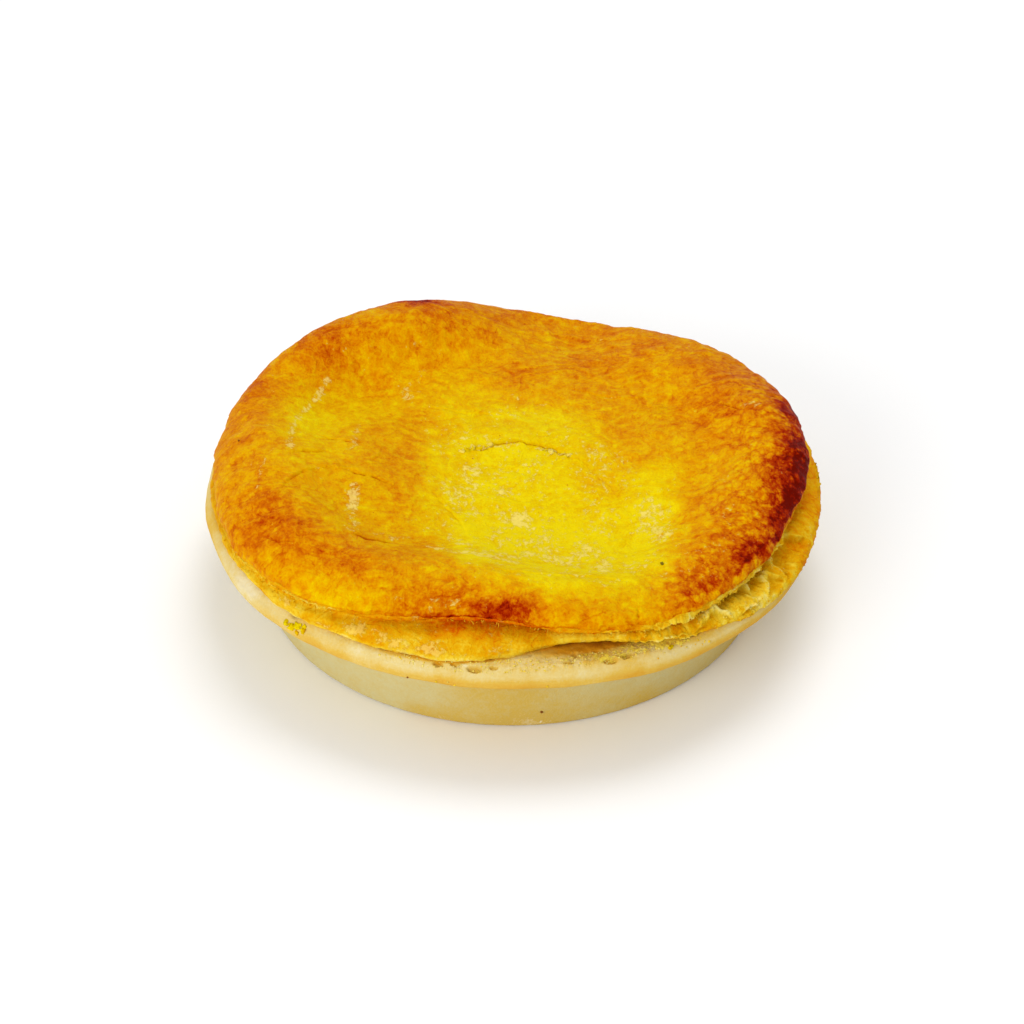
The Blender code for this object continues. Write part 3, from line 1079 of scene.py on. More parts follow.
@dataclass(frozen=True)
class Bake:
    """Where the upper leaf browned, dried and crumbled more or less than the rest of it, with painted glints
    among the dry marks, a painted sheen on the front roll and painted shade in the front groove under the
    lip.

    The border runs round the pale floor. Humps are (x, y, half width along x, half width along y,
    amount), swells are (angle, half width in degrees, amount), and streaks are (line, half width,
    amount), in millimetres on the plan and shares of the browning scale.
    """

    floor_border: Line = (
        (-17, 8), (-17.5, -8), (-16.5, -20), (-14.5, -30), (-11, -39), (-3, -44), (8, -46.8), (20, -46.2),
        (26, -42), (29.5, -34), (32, -26), (33, -14), (31, -6), (23, -1), (19, 5), (15, 12), (10, 18),
        (-2, 20), (-12, 18), (-17, 8),
    )
    browned_ring: Humps = (
        (-21, -4, 4, 17, 0.07), (-40, 8, 8, 13, -0.19), (-43, -10, 7, 7, -0.06), (-29, 14, 7, 6, -0.06),
        (-12, 22, 14, 6, -0.11), (1, 31, 4, 7, 0.12), (11, 32, 7, 5, 0.06), (-14, 45, 9, 5, 0.12),
        (-37, 33, 6, 7, 0.12), (-21, 50.5, 6, 3.4, 0.50), (20, 35, 10, 6, 0.10), (40, 12, 8, 14, 0.13),
        (31, -6, 6, 12, -0.03), (56, 9, 4.6, 14, 0.30), (52.5, -17, 4.4, 11, 0.40),
        (56.5, -8, 3.8, 12, 0.26), (43, -35, 5, 6.5, 0.20), (35, -44, 6, 4.5, 0.14),
        (37, -20, 5, 6, 0.09), (33, -43, 4, 3.5, 0.03), (-51, 20, 4, 12, 0.10), (-45, -28, 7, 9, 0.16),
        (-39, -20, 4, 5, -0.05), (-29, -22, 6, 8, -0.05), (-30, -37, 9, 4, 0.10), (-36, -49, 9, 5, -0.14),
        (-8, -49, 12, 3, 0.17), (-1, -51, 4, 2.4, 0.37), (12, -48, 6, 3.5, -0.04),
        (22, -48.5, 9, 5.5, -0.19),
    )
    browned_floor: Humps = (
        (18, -7, 7, 9, 0.13), (15, 5, 8, 5, 0.08), (0, 12, 14, 5, 0.05), (-14, -20, 3, 10, 0.09),
        (-9, 10, 5, 4, 0.04), (-12, -4, 4, 12, 0.07), (6, -24, 12, 8, -0.04), (27, -20, 4, 9, -0.03),
    )
    lip_browning: Swells = (
        (225, 25, -0.10), (300, 14, 0.06), (325, 12, 0.16), (345, 26, 0.16),
    )
    # Scorch and painted shade on the lip's underside in the front groove.
    underside_scorch_and_shade: Swells = ((264, 15, 0.46), (325, 22, 0.14))
    # Dry streaks, whose pale chips also stand in for painted glints.
    dry_and_sheen_streaks: Sequence[tuple[Line, float, float]] = (
        (
            ((-37.4, 25.5), (-38.4, 21.6), (-39.9, 16.7), (-41.2, 12.6), (-42.8, 5.7), (-42.6, -4.7)),
            0.9, 0.62,
        ),
        (((-30.3, 9), (-30.7, 0.5), (-31.2, -3)), 0.8, 0.50),
        (((-45.8, -6), (-47.6, -12), (-47.8, -18)), 0.7, 0.40),
        (((-30, -15), (-29.9, -21), (-29.5, -28)), 1.8, 0.62),
        (((-25, -27.5), (-22, -28.8), (-19, -27)), 1.1, 0.45),
        (((-16, -30), (-11, -32.5), (-5, -34), (1, -34.6)), 1.1, 0.45),
        (((-18, 31), (-22, 26), (-21, 21)), 1.4, 0.38),
        # A painted sheen haze along the front roll.
        (((-20, -47.6), (-16, -48.8), (-9, -48.6)), 1.2, 0.30),
        (((-2, 26), (1.5, 21), (6, 19)), 1.2, 0.38),
        (((47.4, 9.6), (49.2, 8)), 1.8, 0.50),
    )
    # Dry patches, whose pale chips also stand in for painted glints on blistered flakes.
    dry_and_glint_patches: Humps = (
        (1.3, -18.5, 3.4, 2.6, 0.60), (-8, -6, 4, 6, 0.20), (-10.5, -14, 3, 5, 0.20),
        (-1.2, -10.8, 2.4, 2.2, 0.42), (13, -28, 2.8, 3.4, 0.36), (4, -28, 11, 6, 0.30),
        (14, -36, 9, 5, 0.24), (27, -19, 3.5, 10, 0.36), (-13, 6, 4, 5, 0.25), (36, -33, 5, 6, 0.30),
        (42, -20, 6, 8, 0.22), (20, 3, 8, 4, 0.20),
    )
    crumbled_patches: Humps = (
        (50, 0, 9, 22, 0.7), (43, -30, 9, 14, 0.7), (30, -43, 8, 6, 0.5), (-48, -18, 8, 14, 0.3),
        (-6, -48, 14, 4, 0.4),
    )


@dataclass(frozen=True)
class UpperLeaf:
    """The glazed top leaf, from the sunken floor over the raised ring to its ragged lip."""

    form: LidForm
    bake: Bake = Bake()
    sides: int = 160
    fineness: int = 2
    grid_share: float = 0.60
    floor_rows: int = 8
    roll_rows: int = 7
    under_share: float = 0.88
    hidden_share: float = 0.82
    thickness: float = 0.5 * MM
    lip_inset: float = 0.25 * MM
    roof_rise: float = 0.5 * MM
    roof_run: float = 3.0 * MM
    hidden_foot: float = LID_FOOT + 0.4 * MM
    raw_arc: Pair = (298, 325)
    shown_arc: Pair = (200, 342)
    warps: Sequence[Grain] = (Grain(4 * MM, 11 * MM, 2, 4), Grain(4 * MM, 11 * MM, 2, 14))
    plates: Grain = Grain(2.4, 10.0 * MM, 2, 7.0)
    plate_slope: float = 0.11
    plate_height: float = 0.16 * MM
    lumps: Grain = Grain(0.30 * MM, 11.0 * MM, 3, 5.0)
    wrinkles: Grain = Grain(0.16 * MM, 3.2 * MM, 3, 6.0)
    blister_patches: Grain = Grain(1.0, 7.0 * MM, 2, 8.0)
    blister_height: float = 0.30 * MM
    blister_size: float = 3.4 * MM
    crack_wobble: Grain = Grain(1.0, 1.8 * MM, 3, 9.0)
    border_drift: Grain = Grain(3.4, 9.0 * MM, 5, 15.0)
    raw_edge: Grain = Grain(1.1, 2.6 * MM, 4, 18.0)
    raw_browning: Grain = Grain(0.16, 1.4 * MM, 3, 19.0)
    cracks: Sequence[Crack] = (
        Crack(((10.8, 0.9), (8.2, 2.8), (5.5, 3.9), (2.6, 4.8), (-0.4, 5), (-3.1, 4.1), (-6.2, 2.7),
               (-9.2, 1.9)), 0.22, 0.55, -0.25, 1),
        Crack(((-9.2, 1.9), (-6.2, 2.7), (-3.1, 4.1), (-0.4, 5), (2.6, 4.8), (5.5, 3.9), (8.2, 2.8),
               (10.8, 0.9)), 0.24, 0.1, 0.40, 0),
        Crack(((-42, -6.4), (-39.8, -5), (-37.4, -4.3), (-35.8, -3.2)), 0.24, 0.22, 0.25, 0.75),
        Crack(((-37.5, 3), (-35, 1.9), (-32, 0.8), (-29.5, 0.9)), 0.3, 0.2, 0.2, 0.8),
        Crack(((-43.5, -20), (-42, -15.8), (-39.8, -12.6), (-36.2, -9.7), (-32.6, -8.8)),
              0.22, 0.22, 0.3, 0.7),
        Crack(((-31.8, -9.4), (-29.2, -10.6), (-26.2, -10.8), (-22.5, -12.4)), 0.24, 0.26, 0.3, 0.8),
        Crack(((-38.7, -9.6), (-38.3, -12.5), (-38.5, -15.4)), 0.16, 0.12, 0, 0.5),
        Crack(((-15, -12.5), (-12.3, -17.2), (-9.8, -20.8), (-8.6, -25)), 0.3, 0.16, 0.2, 0.6),
        Crack(((4.6, 7), (7.4, 6.8), (10.2, 6.3)), 0.24, 0.12, 0.1, 0.8),
        Crack(((41, 13.2), (42.4, 11.2), (45.4, 8)), 0.26, 0.24, 0.15, 0.8),
        Crack(((49.5, -6.8), (52, -7.2), (54.5, -6.4), (57, -5.4)), 0.35, 0.3, 0.3, 0.3),
        Crack(((44.8, -2), (45.8, -5), (45.4, -8), (46.2, -10.5)), 0.3, 0.25, 0.2, 0.6),
        Crack(((22.4, -49.5), (22.9, -53.8)), 0.4, 0.45, 0, 0.7),
        Crack(((-27.5, -6.6), (-25.5, -3), (-25, 1.5)), 0.22, 0.15, 0.15, 0.5),
        Crack(((26, -17.4), (30.8, -15.9), (34.8, -14.6)), 0.26, 0.12, 0.1, 0.7),
        Crack(((-29, -29.8), (-25.6, -30.6), (-22.6, -30.4)), 0.7, 0.55, 0, 1),
        Crack(((-47, -30), (-43, -33), (-38, -34.2)), 0.24, 0.16, 0.2, 0.6),
        Crack(((-6, -40.2), (4, -41.6), (14, -41), (22, -42.6)), 0.26, 0.14, 0.25, 0.4),
        Crack(((-18, 18), (-9, 15.2), (-2, 15.6)), 0.22, 0.12, 0.25, 0.4),
        Crack(((12, 24.5), (22, 20.5), (31, 21)), 0.24, 0.14, 0.25, 0.5),
    )

    def build(self) -> Piece:
        """Makes the leaf as a puck of radius 1, refines it, and shapes it."""
        cage = RingCage("upper_leaf", self.sides, self.grid_share, 1.0)
        cage.draw_rows(self.form.crest_part, 1.0, self.floor_rows)
        cage.draw_rows(1.0, 1.0, self.roll_rows)
        cage.draw_to(1.0, 0.0)
        cage.draw_to(self.under_share, 0.0)
        cage.draw_to(self.hidden_share, -1.0)
        cage.close()
        cage.fill_ring(self.grid_share, 1.0)
        leaf = cage.lift_off()
        subdivide(leaf, self.fineness)
        self._refine(leaf)
        self._shape(leaf)
        self._relief(leaf)
        self._brown(leaf)
        return settle(leaf)

    def _plan(self, puck: Array) -> Array:
        """Where the puck's top points come to lie, as distances from the axis."""
        share, angle = polar(puck)
        crest = self.form.crest_share(angle)
        beyond = unit((share - self.form.crest_part) / (1.0 - self.form.crest_part))
        inner = crest * share / self.form.crest_part
        outer = crest + (1.0 - crest) * np.sin(0.5 * np.pi * beyond)
        return self.form.radius(angle) * np.where(share < self.form.crest_part, inner, outer)

    def _refine(self, leaf: Piece) -> None:
        """Splits the faces under the cracks, which are finer than the rest."""
        puck = places_of(leaf)
        radius = self._plan(puck)
        _, angle = polar(puck)
        turn = np.radians(angle)
        x, y = radius * np.cos(turn) / MM, radius * np.sin(turn) / MM
        near = np.zeros(len(puck), dtype=bool)
        for crack in self.cracks:
            near |= np.abs(follow(x, y, crack.line)[0]) < 0.7 + crack.width
        near &= puck[:, 2] > 0.999
        refine(leaf, near, 2)
        puck = places_of(leaf)
        share, angle = polar(puck)
        at_lip = (share > 0.975) & (puck[:, 2] > -1e-5) & (within(angle, *self.shown_arc, 0.5) > 0.0)
        refine(leaf, at_lip, 1)

    def _shape(self, leaf: Piece) -> None:
        """Moves the puck's points to the lid's broad form, with a ragged lip."""
        puck = places_of(leaf)
        share, angle = polar(puck)
        level = puck[:, 2]
        rim = self.form.radius(angle)
        lip = self.form.lip(angle)
        radius = self._plan(puck)
        height = self.form.height(radius, angle)
        depth = (1.0 - share) * rim

        edge = level < 0.9999
        radius = np.where(edge, rim - self.lip_inset * (1.0 - level), radius)
        height = np.where(edge, lip - self.thickness * (1.0 - level), height)
        under = level < 1e-5
        roof = lip - self.thickness + self.roof_rise * smooth(0.0, self.roof_run, depth)
        radius = np.where(under, rim - self.lip_inset - depth, radius)
        height = np.where(under, roof, height)
        hidden = level < -1e-5
        height = np.where(hidden, roof + (self.hidden_foot - roof) * unit(-level), height)

        below = 1.0 - smooth(0.0, self.roof_run, np.where(under, depth, 0.0))
        near = np.where(edge, below, smooth(0.955, 1.0, share))
        tear, wave = self.form.lip_tear(angle)
        radius = radius + near * tear
        height = height + near * wave
        set_places(leaf, from_polar(radius, angle, height))

    def _relief(self, leaf: Piece) -> None:
        """Raises the blisters, wrinkles and overlapping leaves, and opens the cracks."""
        places = places_of(leaf)
        x, y = places[:, 0] / MM, places[:, 1] / MM
        flat = places * np.array([1.0, 1.0, 0.4])
        warp = np.stack([grain.at(flat) for grain in self.warps] + [np.zeros(len(x))], axis=1)
        flow = (flat + warp) * np.array([0.75, 1.0, 1.0])
        levels = self.plates.at(flow) + self.plate_slope * y
        relief = self.lumps.at(flat) + self.wrinkles.at(flow) + self.plate_height * shingles(levels)
        blistered = smooth(0.0, 0.5, self.blister_patches.at(flat)) + 0.8 * smooth(42.0, 50.0, x)
        relief += self.blister_height * blisters(flat, self.blister_size, 1.0) * blistered
        wobble = self.crack_wobble.at(flat)
        opened = np.zeros(len(x))
        for crack in self.cracks:
            opening, raised = crack.near(x, y, wobble)
            relief += MM * (crack.lift * raised - crack.depth * opening)
            opened = np.maximum(opened, 0.8 * crack.stain * opening)
        facing = smooth(0.05, 0.35, normals_of(leaf)[:, 2])
        push_out(leaf, relief * facing)
        paint(leaf, "leaves", levels)
        paint(leaf, "cracks", opened * facing)

    def _brown(self, leaf: Piece) -> None:
        """Paints how far each place was browned, how dry it is with painted glints, and the scorch and
        painted shade under the front of the lip.
        """
        places = places_of(leaf)
        x, y = places[:, 0] / MM, places[:, 1] / MM
        radius, angle = polar(places)
        rim = self.form.radius(angle)
        inward = follow(x, y, self.bake.floor_border)[0] + self.border_drift.at(places)
        floor = smooth(-4.6, 5.0, inward)
        outside = 0.315 + 0.09 * smooth(40.0, 52.0, radius / MM) + humps_at(x, y, self.bake.browned_ring)
        value = outside + (0.055 + humps_at(x, y, self.bake.browned_floor) - outside) * floor
        lit = smooth(0.90, 0.985, radius / rim)
        value += lit * swelling(angle, self.bake.lip_browning)
        ragged = (radius - rim) / MM + self.raw_edge.at(places)
        raw = smooth(-1.4, -0.6, ragged) * within(angle, *self.raw_arc, 8.0)
        value += raw * (0.42 + self.raw_browning.at(places) - value)
        # The lip's underside, with scorch and painted shade in the front groove.
        under = smooth(-0.3, 0.1, -normals_of(leaf)[:, 2]) * smooth(0.93, 0.97, radius / rim)
        value = value * (1.0 - under) + (0.36 + swelling(angle, self.bake.underside_scorch_and_shade)) * under
        paint(leaf, "browning", unit(value))
        # Dryness, where pale chips also stand in for painted glints.
        dry_and_glint = 0.35 * floor + humps_at(x, y, self.bake.dry_and_glint_patches)
        for line, half_width, amount in self.bake.dry_and_sheen_streaks:
            dry_and_glint += 1.25 * amount * bell(follow(x, y, line)[0], 0.0, half_width)
        paint(leaf, "dryness_and_glint", unit(dry_and_glint))
        crumble = 0.25 + 0.15 * (1.0 - floor) + 0.4 * raw + humps_at(x, y, self.bake.crumbled_patches)
        paint(leaf, "crumble", unit(crumble))


# ---------------------------------------------------------------- the lower leaf and the shreds


@dataclass(frozen=True)
class Pocket:
    """A hollow in the torn side: a line of angles and levels, open above and with a rising floor."""

    line: Line
    width: float
    depth: float

    def near(self, arc: Array, rise: Array, reach: Pair) -> tuple:
        """How deep the hollow is at each place, from 0 to 1, and how close its upper brow is.

        Args:
            arc: Places round the pie, in millimetres.
            rise: Places up the side, in millimetres.
            reach: Millimetres for a degree and for the whole side.

        Returns:
            The hollow's depth and the brow's nearness.
        """
        line = [(angle * reach[0], level * reach[1]) for angle, level in self.line]
        offset, progress = follow(arc, rise, line)
        taper = np.sqrt(unit(np.sin(np.pi * progress)))
        up = 0.5 + 0.5 * offset / (self.width * taper + 0.02)
        opening = smooth(0.0, 0.7, up) * smooth(1.04, 0.94, up) * smooth(0.0, 0.25, taper)
        return opening * (0.35 + 0.65 * taper), bell(up, 1.12, 0.16) * taper


@dataclass(frozen=True)
class LowerLeaf:
    """The thick leaf that swells out under the upper one and rests on the flange."""

    form: LidForm
    sides: int = 160
    face_rows: int = 9
    ledge_share: float = 0.94
    back_share: float = 0.88
    top_level: float = 0.95
    face_length: float = 7.0 * MM
    roof_gap: float = 0.15 * MM
    shown_arc: Pair = (182, 386)
    torn_arc: Pair = (284, 352)
    groove_ease_swells: Swells = ((220, 24, 1.2),)
    lift_swells: Swells = ((290, 11, 1),)
    # Scorch and painted shade in the groove under the lip.
    groove_scorch_and_shade: Swells = ((264, 15, 0.32), (290, 14, 0.06))
    bulges: Swells = ((304, 12, 0.8), (282, 8, 0.5))
    peach_patches: Sequence[tuple[float, float, float, float]] = (
        (241, 0.46, 3, 0.15), (248, 0.36, 3.2, 0.14), (250.5, 0.12, 2.6, 0.07), (255, 0.34, 2.6, 0.13),
        (261, 0.28, 2.6, 0.10), (268.8, 0.32, 2.4, 0.10), (226, 0.55, 2.2, 0.16), (234, 0.30, 2.2, 0.10),
    )
    face_browning: Swells = (
        (218, 14, -0.06), (298, 12, -0.05), (320, 16, -0.13), (347, 16, 0.13),
    )
    broad_lumps: Grain = Grain(0.30, 9.0 * MM, 3, 21.0)
    wrinkles: Grain = Grain(0.20, 2.6 * MM, 4, 22.0)
    fine_lumps: Grain = Grain(0.10, 1.1 * MM, 3, 27.0)
    plates: Grain = Grain(1.6, 8.0 * MM, 3, 23.0)
    plate_rise: float = 1.1 * MM
    crumbs: Sequence[Grain] = (Grain(1, 1 * MM, 4, 28), Grain(0.5, 0.45 * MM, 2, 29))
    pocket_wobble: Sequence[Grain] = (Grain(0.22, 0.9 * MM, 3, 31), Grain(0.30, 3 * MM, 2, 32))
    mottle: Grain = Grain(0.14, 5.0 * MM, 3, 25.0)
    torn_mottle: Grain = Grain(0.14, 2.2 * MM, 2, 30.0)
    dry_and_glint_mottle: Grain = Grain(0.4, 5.0 * MM, 2, 26.0)
    ridge: Pair = (0.80, 0.14)
    pockets: Sequence[Pocket] = (
        Pocket(((-32.4, 0.30), (-31.4, 0.42), (-28.6, 0.50), (-25, 0.48), (-21, 0.39)), 1.10, 1.47),
        Pocket(((-39.2, 0.29), (-37.4, 0.35), (-35.6, 0.38), (-33.6, 0.34)), 0.85, 0.98),
        Pocket(((-32.8, 0.80), (-30.2, 0.80), (-27.1, 0.77), (-23, 0.74)), 0.60, 0.56),
        Pocket(((-41.4, 0.45), (-39.6, 0.54), (-37, 0.59), (-33.6, 0.62)), 1.00, 1.19),
        Pocket(((-42.2, 0.72), (-38.9, 0.80), (-36, 0.86)), 0.50, 0.56),
        Pocket(((-49.6, 0.50), (-47, 0.57), (-44.2, 0.60), (-42.2, 0.56), (-41, 0.48)), 1.15, 1.61),
        Pocket(((-46.2, 0.22), (-44.6, 0.27), (-43.2, 0.27), (-42, 0.22)), 0.50, 0.63),
        Pocket(((-56.3, 0.26), (-54.2, 0.34), (-51.6, 0.38), (-49.6, 0.36), (-48.4, 0.28)), 0.95, 0.90),
        Pocket(((-65, 0.76), (-61, 0.80), (-58, 0.80), (-54.4, 0.75)), 0.90, 0.55),
        Pocket(((-69, 0.04), (-65.5, 0.09), (-62.4, 0.26), (-59.9, 0.27), (-56.8, 0.27)), 0.50, 0.63),
        Pocket(((-59.8, 0.08), (-57.3, 0.12), (-55.2, 0.12)), 0.34, 0.35),
        Pocket(((-20, 0.62), (-16, 0.60), (-12.5, 0.64)), 0.35, 0.28),
        Pocket(((-8, 0.34), (-3, 0.30), (4, 0.34)), 0.40, 0.28),
    )

    def build(self) -> Piece:
        """Makes the leaf as a closed ring and shapes it."""
        cage = RingCage("lower_leaf", self.sides, 1.0, 0.0)
        cage.draw_rows(1.0, 1.0, self.face_rows)
        cage.draw_rows(self.ledge_share, 1.0, 2)
        cage.draw_to(self.ledge_share, 2.0)
        cage.draw_to(self.back_share, 2.0)
        cage.draw_to(self.back_share, 0.0)
        cage.bridge_ends(1.0, 0.0)
        leaf = cage.lift_off()
        subdivide(leaf, 1)
        for (start, end), cuts in ((self.shown_arc, 1), (self.torn_arc, 2)):
            puck = places_of(leaf)
            share, angle = polar(puck)
            refine(leaf, (share > 0.998) & (within(angle, start, end, 0.5) > 0.0), cuts)
        self._shape(leaf)
        return settle(leaf)

    def _shape(self, leaf: Piece) -> None:
        """Moves the ring to the lid's side, then tears, wrinkles and paints it."""
        puck = places_of(leaf)
        share, angle = polar(puck)
        level = unit(puck[:, 2])
        radius, height = self.form.edge(level * self.top_level, angle)
        ease = MM * swelling(angle, self.groove_ease_swells)
        radius = radius + bell(level, self.form.groove_level, 0.2) * ease
        height = height + MM * swelling(angle, self.lift_swells) * (1.0 - level) ** 2
        depth = (1.0 - share) * self.form.lid_radius
        roof = self.form.lip(angle) - self.roof_gap
        height = height + (roof - height) * unit(puck[:, 2] - 1.0)
        face = (share > 0.995) & (puck[:, 2] < 1.001)
        ledge = smooth(0.97, 1.0, share) * (puck[:, 2] < 1.001)
        set_places(leaf, from_polar(radius - depth, angle, height))

        path = round_path(angle, self.form.lid_radius, height)
        flat = path * np.array([1.0, 1.0, 2.4])
        torn = within(angle, *self.torn_arc, 6.0)
        hollow, brow = self._tear(angle, level, path)
        relief = self.broad_lumps.at(path) + self.wrinkles.at(flat) + self.fine_lumps.at(path)
        levels = self.plates.at(flat) + height / self.plate_rise
        relief += 0.22 * shingles(levels) * (1.0 - 0.5 * torn)
        crumbs = layered(path, self.crumbs)
        relief += 0.16 * torn * crumbs * (1.0 - 0.7 * np.minimum(hollow, 1.0))
        relief += 0.45 * brow * (1.0 + 0.8 * crumbs) - hollow
        relief += smooth(0.1, 0.5, level) * swelling(angle, self.bulges)
        push_out(leaf, relief * MM * ledge)

        value = 0.38 + self.mottle.at(path) + swelling(angle, self.face_browning)
        # Scorch and painted shade in the groove under the lip.
        value += smooth(0.40, 0.66, level) * swelling(angle, self.groove_scorch_and_shade)
        value += 0.10 * bell(level, *self.ridge)
        value -= 0.24 * smooth(0.30, 0.06, level) * within(angle, 208.0, 275.0, 10.0)
        value += torn * (0.10 * crumbs + self.torn_mottle.at(path)) * (1.0 - np.minimum(hollow, 1.0))
        # Painted shade darkens the hollows; the paler brows are raw torn edges.
        value += 0.07 * np.minimum(hollow, 1.1) - 0.22 * brow
        value = np.where(face, value, 0.5)
        paint(leaf, "browning", unit(value))
        upright = path * np.array([1.0, 1.0, 0.5])
        turned = angle % 360.0
        # Dryness, where pale chips also stand in for painted glints.
        dry_and_glint = 0.10 + self.dry_and_glint_mottle.at(upright) + 0.12 * torn + 0.4 * brow
        for patch_angle, patch_level, half_angle, half_level in self.peach_patches:
            away = np.hypot((turned - patch_angle) / half_angle, (level - patch_level) / half_level)
            dry_and_glint += 0.85 * np.exp(-(away**2))
        # The hollows lose their pale patches under their painted shade.
        dry_and_glint -= 0.3 * bell(level, *self.ridge) + 0.8 * hollow
        paint(leaf, "dryness_and_glint", unit(dry_and_glint))
        paint(leaf, "crumble", np.full(len(puck), 0.3))
        paint(leaf, "leaves", levels)

    def _tear(self, angle: Array, level: Array, path: Array) -> tuple:
        """How deep the hollows are at each place, in millimetres, and where their brows are."""
        degree = math.radians(1.0) * self.form.lower_leaf_radius / MM
        turned = np.where(angle > 90.0, angle - 360.0, angle)
        rise = level * self.face_length / MM + layered(path, self.pocket_wobble)
        hollow = np.zeros(len(angle))
        brow = np.zeros(len(angle))
        for pocket in self.pockets:
            opening, edge = pocket.near(turned * degree, rise, (degree, self.face_length / MM))
            hollow = np.maximum(hollow, pocket.depth * opening)
            brow = np.maximum(brow, edge)
        return hollow, brow


@dataclass(frozen=True)
class LipShreds:
    """Thin torn leaves that hang from the lip, with a ragged edge.

    The line gives, at some angles, how far they reach out and how far they drop, in millimetres. Where
    the reach is below zero they stay inside.
    """

    form: LidForm
    line: Sequence[tuple[float, float, float]] = (
        (-152, -0.8, 0), (-147, 0.02, 0.3), (-138, 0.05, 0.7), (-131, 0.02, 0.4), (-126, 0.02, 0.6),
        (-121, -0.8, 0.1), (-66, -0.8, 0.1), (-62, 0.08, 0.4), (-54, 0.05, 0.5), (-51, -0.8, 0.1),
        (-47, 0.08, 0.5), (-40, 0.05, 0.3), (-36, -0.8, 0.1),
    )
    spacing: float = 0.16 * MM
    rows: int = 10
    lip_gap: float = 0.25 * MM
    root_depth: float = 2.2 * MM
    edge_thickness: float = 0.12 * MM
    root_thickness: float = 0.45 * MM
    ragged: float = 0.9
    noise_height: float = 2400.0 * MM
    tears: Sequence[Grain] = (Grain(0.6, 2.2 * MM, 3, 60), Grain(0.7, 0.6 * MM, 2, 61))
    waves: Grain = Grain(0.10 * MM, 3.0 * MM, 3, 62.0)
    curls: Grain = Grain(0.12 * MM, 0.9 * MM, 2, 63.0)
    mottle: Grain = Grain(0.14, 2.0 * MM, 3, 65.0)

    def build(self) -> Piece:
        """Makes the sheet flat and closed, and bends it round the pie."""
        start, end = self.line[0][0], self.line[-1][0]
        steps = int(math.radians(end - start) * self.form.lid_radius / self.spacing)
        sheet = add(
            bpy.ops.mesh.primitive_grid_add, "lip_shreds",
            x_subdivisions=steps, y_subdivisions=self.rows, size=1.0, location=(0.5, 0.5, 0.0),
        )
        bpy.ops.object.transform_apply(location=True, rotation=True, scale=True)
        modify(sheet, "SOLIDIFY", thickness=0.1, offset=0.0)
        self._shape(sheet)
        with editing(sheet):
            face_outwards()
        return settle(sheet)

    def _shape(self, sheet: Piece) -> None:
        """Bends the sheet round the pie, tears its outer edge and lets it droop."""
        grid = places_of(sheet)
        line = np.array(self.line)
        angle = line[0, 0] + (line[-1, 0] - line[0, 0]) * unit(grid[:, 0])
        out = unit(grid[:, 1])
        side = np.sign(grid[:, 2])
        reach, drop = (np.interp(angle, line[:, 0], line[:, column]) for column in (1, 2))
        path = round_path(angle, self.form.lid_radius, self.noise_height)
        torn = layered(path, self.tears)
        torn = 1.0 + self.ragged * np.where(torn > 0.0, 1.6 * torn, torn)
        tear, wave = self.form.lip_tear(angle)
        shown = smooth(0.3, 1.0, out)
        radius = self.form.radius(angle) + tear + shown * torn * reach * MM - (1.0 - out) * self.root_depth
        height = self.form.lip(angle) + wave - self.lip_gap
        height += self.waves.at(path) - shown**1.5 * torn * drop * MM + self.curls.at(path) * out**2
        thick = self.root_thickness + (self.edge_thickness - self.root_thickness) * smooth(0.1, 0.9, out)
        set_places(sheet, from_polar(radius, angle, height + 0.5 * thick * side))
        value = 0.42 - 0.20 * smooth(0.5, 0.95, out) + self.mottle.at(from_polar(radius, angle, height))
        paint(sheet, "browning", unit(value))
        paint(sheet, "dryness_and_glint", 0.2 * smooth(0.7, 1.0, out))


# ---------------------------------------------------------------- the case


